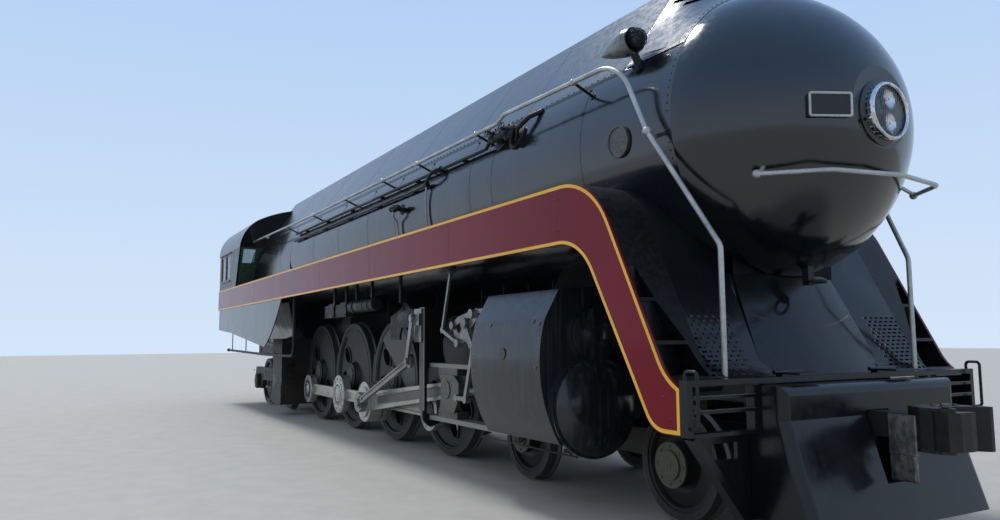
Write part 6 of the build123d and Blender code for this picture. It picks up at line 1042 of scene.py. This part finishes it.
for word, side in SIDES:
    rods = Heap()
    for number, eye in ((1, 0.262), (3, 0.323), (4, 0.267)):
        pin = Vector((DRIVER_X[number - 1] + THROW * cos(CRANK[word]), side * 1.0045,
                      AXLE_Z + THROW * sin(CRANK[word])))
        rods.ring_of_bolts(pin, (0, side, 0), eye * 0.80, 12, 0.013, 0.010, start=0.2)
        rods.turned(pin, (0, side, 0), [(eye * 0.93, -0.002), (eye * 0.93, 0.003), (eye * 0.90, 0.004),
                                        (eye * 0.89, -0.002)], 48)
        if number > 2:
            rods.turned(pin, (0, side, 0), [(eye * 0.62, -0.002), (eye * 0.62, 0.006), (eye * 0.56, 0.011),
                                            (eye * 0.30, 0.016), (eye * 0.28, 0.024), (eye * 0.1, 0.028),
                                            (0, 0.028)], 48)
    rods.done(f"side_rod_bolts_{word}", BRIGHT, "bare_steel", body=f"side_rods_{word}")

# ---- leading and trailing wheels ----
for number, x in enumerate(LEAD_X, start=1):
    trim = Heap()
    for _, side in SIDES:
        trim.ring_of_bolts((x, side * 0.9045, LEAD_Z), (0, side, 0), 0.152, 8, 0.011, 0.010)
        trim.turned((x, side * 0.925, LEAD_Z), (0, side, 0), [(0.030, -0.002), (0.030, 0.003),
                                                              (0.017, 0.0035), (0.015, -0.004)], 24)
    trim.done(f"lead_axle_{number}_cap_bolts", DULL, "tyre_steel", body=f"lead_axle_{number}")

trim = Heap()
for _, side in SIDES:
    for x in TRAIL_X:
        trim.ring_of_bolts((x, side * 1.100, TRAIL_Z), (0, side, 0), 0.150, 6, 0.014, 0.012)
    for x in (-5.55, -6.30, -7.45):
        trim.bolt((x, side * 1.030, 0.80), (0, side, 0), 0.015, 0.012)
trim.done("trailing_truck_bolts", GRIMY, body="trailing_truck")

# ---- cylinders ----
for word, side in SIDES:
    jacket = tree_of(f"cylinder_{word}")
    studs = Heap()

    def outside(x, z):
        """Spot and normal on the cylinder's outer side."""
        return meet(jacket, (x, side * 2.2, z), (0, -side, 0))

    for x in (5.56, 6.767):
        for k in range(14):
            studs.rivet_on(outside(x, 0.66 + k * 0.078), 0.007, 0.004)
    for x, z in ((5.86, 1.655), (6.64, 1.675), (6.74, 1.655), (6.74, 1.27)):
        studs.bolt(*outside(x, z), 0.018, 0.008)
    studs.turned((6.165, side * 1.7060, 1.384), (0, side, 0), [(0.046, -0.004), (0.046, -0.0005),
                                                               (0.036, 0.0003), (0.0355, -0.003)], 32)
    studs.done(f"cylinder_studs_{word}", DULL)
    cocks = Heap()
    for x in (5.70, 6.60):
        cocks.tube([(x, side * 1.20, 0.60), (x, side * 1.20, 0.53), (x - 0.03, side * 1.20, 0.50),
                    (x - 0.16, side * 1.20, 0.495)], 0.018, 10)
        cocks.turned((x, side * 1.20, 0.545), UP, [(0.032, -0.02), (0.032, 0.02)], 12)
    cocks.tube([(4.9, side * 1.245, 0.47), (6.7, side * 1.245, 0.47)], 0.010, 8)
    for x in (5.70, 6.60):
        cocks.tube([(x, side * 1.20, 0.545), (x, side * 1.245, 0.545), (x, side * 1.245, 0.47)], 0.008, 8)
    cocks.done(f"cylinder_cocks_{word}", SATIN)

# ---- curved front sheets ----
sheet = tree_of("running_board_right", "running_board_left", "front_apron")
front = Heap()
for _, side in SIDES:
    for count, y, foot, radius, height in ((23, 1.268, 1.32, 0.008, 0.0045), (13, 0.600, 1.29, 0.007, 0.004)):
        for k in range(count):
            front.rivet_on(meet(sheet, (9.4, side * y, foot + k * 0.062), BACK), radius, height)
front.done("apron_rivets", APRON, "boiler_black")

seam = Heap()
rows = []
for k in range(25):
    y = -0.585 + k * 0.04875
    found = meet(sheet, (9.4, y, 1.70 - 0.10 * (1 - (y / 0.585) ** 2)), BACK)
    if found:
        rows.append([found[0] + found[1] * lift + Vector((0, 0, shift)) for shift, lift in (
            (-0.010, -0.001), (-0.010, 0.003), (0.010, 0.003), (0.010, -0.001))])
seam.strip(rows)
seam.done("apron_panel_seam", APRON, "boiler_black", smooth=False)

# ---- pilot, coupler and their fittings ----
grip = Heap()
for _, side in SIDES:
    for z in (1.033, 1.128):
        grip.tube([(8.576, side * y, z) for y in (1.03, 1.61)], 0.004, 6)
grip.done("step_treads", DULL)

worn = Heap()
worn.block((9.000, -0.197, 0.700), (9.208, -0.166, 0.982), 0.008)
worn.block((9.004, -0.200, 0.525), (9.200, -0.160, 0.712), 0.014)
worn.block((9.050, -0.170, 0.850), (9.150, -0.080, 0.930), 0.004)
worn.done("coupler_worn_plate", WORN)

coupling = tree_of("coupler_front")
wear = Heap()
wear.bolt((9.385, -0.135, 1.0524), UP, 0.030, 0.020)
for x, y in ((9.30, 0.12), (9.22, 0.0), (9.40, 0.19)):
    found = meet(coupling, (x, y, 1.4), DOWN)
    if found:
        wear.bolt(found[0], UP, 0.016, 0.012)
wear.done("coupler_bolts", DULL)

# ---- straps and bolts of tanks and lubricators ----
straps = Heap()
for _, side in SIDES:
    for x in (1.02, 1.30, 1.52, 1.79):
        straps.turned((x - 0.02, side * 1.350, 2.030), AHEAD,
                      [(0.0955, 0), (0.099, 0.002), (0.099, 0.038), (0.0955, 0.04)], 32)
    for x0, x1 in ((-0.48, 0.0), (0.11, 0.63)):
        for x in (x0 + 0.05, x1 - 0.05):
            for z in (1.92, 2.05):
                straps.bolt((x, side * 1.380, z), (0, side, 0), 0.012, 0.010)
straps.done("reservoir_straps", SATIN)

# ---- what each carried-over node is made of, by the start of its name ----
LOOKS = {start: material for material, starts in (
    (APRON, "front_apron"), (BLACK, "boiler_jacket firebox side_panels"), (CAB, "cab_shell"),
    (CASING, "cab_roof skyline_casing"), (CAST, "backhead"), (CHROME, "headlight"), (CYLINDER, "cylinder"),
    (GREASY, "crosshead"), (GREEN, "cab_floor cab_seats"),
    (GRIMY, "ashpan brake_rigging driving_boxes lead_truck_frame main_frame rear_drawbar trailing_truck_frame"),
    (GUIDE, "guide_yoke"), (LAMP_GREY, "class_lamps"), (NOSE, "nose_cone"), (PILOT, "deck_covers pilot"),
    (ROD, "side_rods"), (SILVER, "handrail nose_rail"), (SKIRT, "running_board"), (VALVE, "valve_gear"),
    (SATIN, "boiler_valves coupler cylinder_saddle lifting_ring link_brackets lubricators pilot_grabs "
            "reservoirs side_pipes stack")) for start in starts.split()}
for number, x in enumerate(DRIVER_X, start=1):
    LOOKS[f"driver_wheelset_{number}"] = wheel_paint(
        f"driver_paint_{number}", x, AXLE_Z, 0.889, 0.074, 0.13, 0.874, 0.805 if number == 2 else 9.0)
for word, places, z, sizes in (("lead", LEAD_X, LEAD_Z, (0.457, 0.06, 0.185, 0.925)),
                               ("trailing", TRAIL_X, TRAIL_Z, (0.533, 0.065, 0.13, 1.01))):
    for number, x in enumerate(places, start=1):
        LOOKS[f"{word}_wheelset_{number}"] = wheel_paint(f"{word}_paint_{number}", x, z, *sizes)
for word, _ in SIDES:
    pin = (DRIVER_X[1] + THROW * cos(CRANK[word]), AXLE_Z + THROW * sin(CRANK[word]))
    wrist = (pin[0] + (MAIN_ROD ** 2 - (WRIST_Z - pin[1]) ** 2) ** 0.5, WRIST_Z)
    LOOKS[f"main_rod_{word}"] = main_rod_paint(f"main_rod_steel_{word}", pin, wrist)
for name, node in nodes.items():
    if name != "seat_cushions":
        start = max((key for key in LOOKS if name.startswith(key)), key=len)
        for slot in node.material_slots:
            slot.material = LOOKS[start]

# ---- floor, world, light and camera ----
floor = bpy.data.meshes.new("studio_floor")
floor.from_pydata([(-90, -90, 0), (90, -90, 0), (90, 90, 0), (-90, 90, 0)], [], [(0, 1, 2, 3)])
ground = Paint("studio_floor_paint")
floor.materials.append(ground.finish(ground.patches(ground.noise(3, 3), 0.3, 0.7, (0.38, 0.375, 0.36),
                                                    (0.42, 0.415, 0.40)), 0.75))
show("studio_floor", floor)

# The world lights everything at one level; camera, glossy and transmission rays see a sky.
scene.world = bpy.data.worlds.new("studio")
scene.world.use_nodes = True
air = Graph(scene.world.node_tree)
lit = air.tree.nodes["Background"]
lit.inputs["Color"].default_value = (0.74, 0.80, 0.88, 1)
lit.inputs["Strength"].default_value = 0.85
height = air.split(air.node("TexCoord").outputs["Generated"])[2]
sky = air.node("Background", Color=air.patches(height, 0.0, 0.75, (0.66, 0.79, 0.95), (0.29, 0.50, 0.88)))
ray = air.node("LightPath").outputs
seen = air.plus(ray["Is Camera Ray"], air.plus(ray["Is Glossy Ray"], ray["Is Transmission Ray"]))
seen.node.use_clamp = True
blend = air.node("MixShader")
for source, socket in zip((seen, lit.outputs[0], sky.outputs[0]), blend.inputs):
    air.link(source, socket)
air.link(blend.outputs[0], air.tree.nodes["World Output"].inputs["Surface"])

sun_data = bpy.data.lights.new("key_sun", "SUN")
sun_data.energy = 2.1
sun_data.color = (1.0, 0.97, 0.92)
sun_data.angle = radians(12)
sun_at = Vector((-13.4, -0.7, 20))
show("key_sun", sun_data).matrix_world = (
    Matrix.Translation(sun_at) @ (-sun_at).to_track_quat("-Z", "Y").to_matrix().to_4x4())

camera_data = bpy.data.cameras.new("camera")
camera_data.sensor_width = 36
camera_data.lens = 778.16 * 36 / 1000
camera_data.clip_end = 200
camera = show("camera", camera_data)
camera.matrix_world = (
    Matrix.Translation(CAMERA_AT) @ Matrix.Rotation(radians(150.46 - 90), 4, "Z")
    @ Matrix.Rotation(radians(90 + 5.78), 4, "X") @ Matrix.Rotation(radians(-0.41), 4, "Z"))
scene.camera = camera
scene.view_settings.view_transform = "Standard"
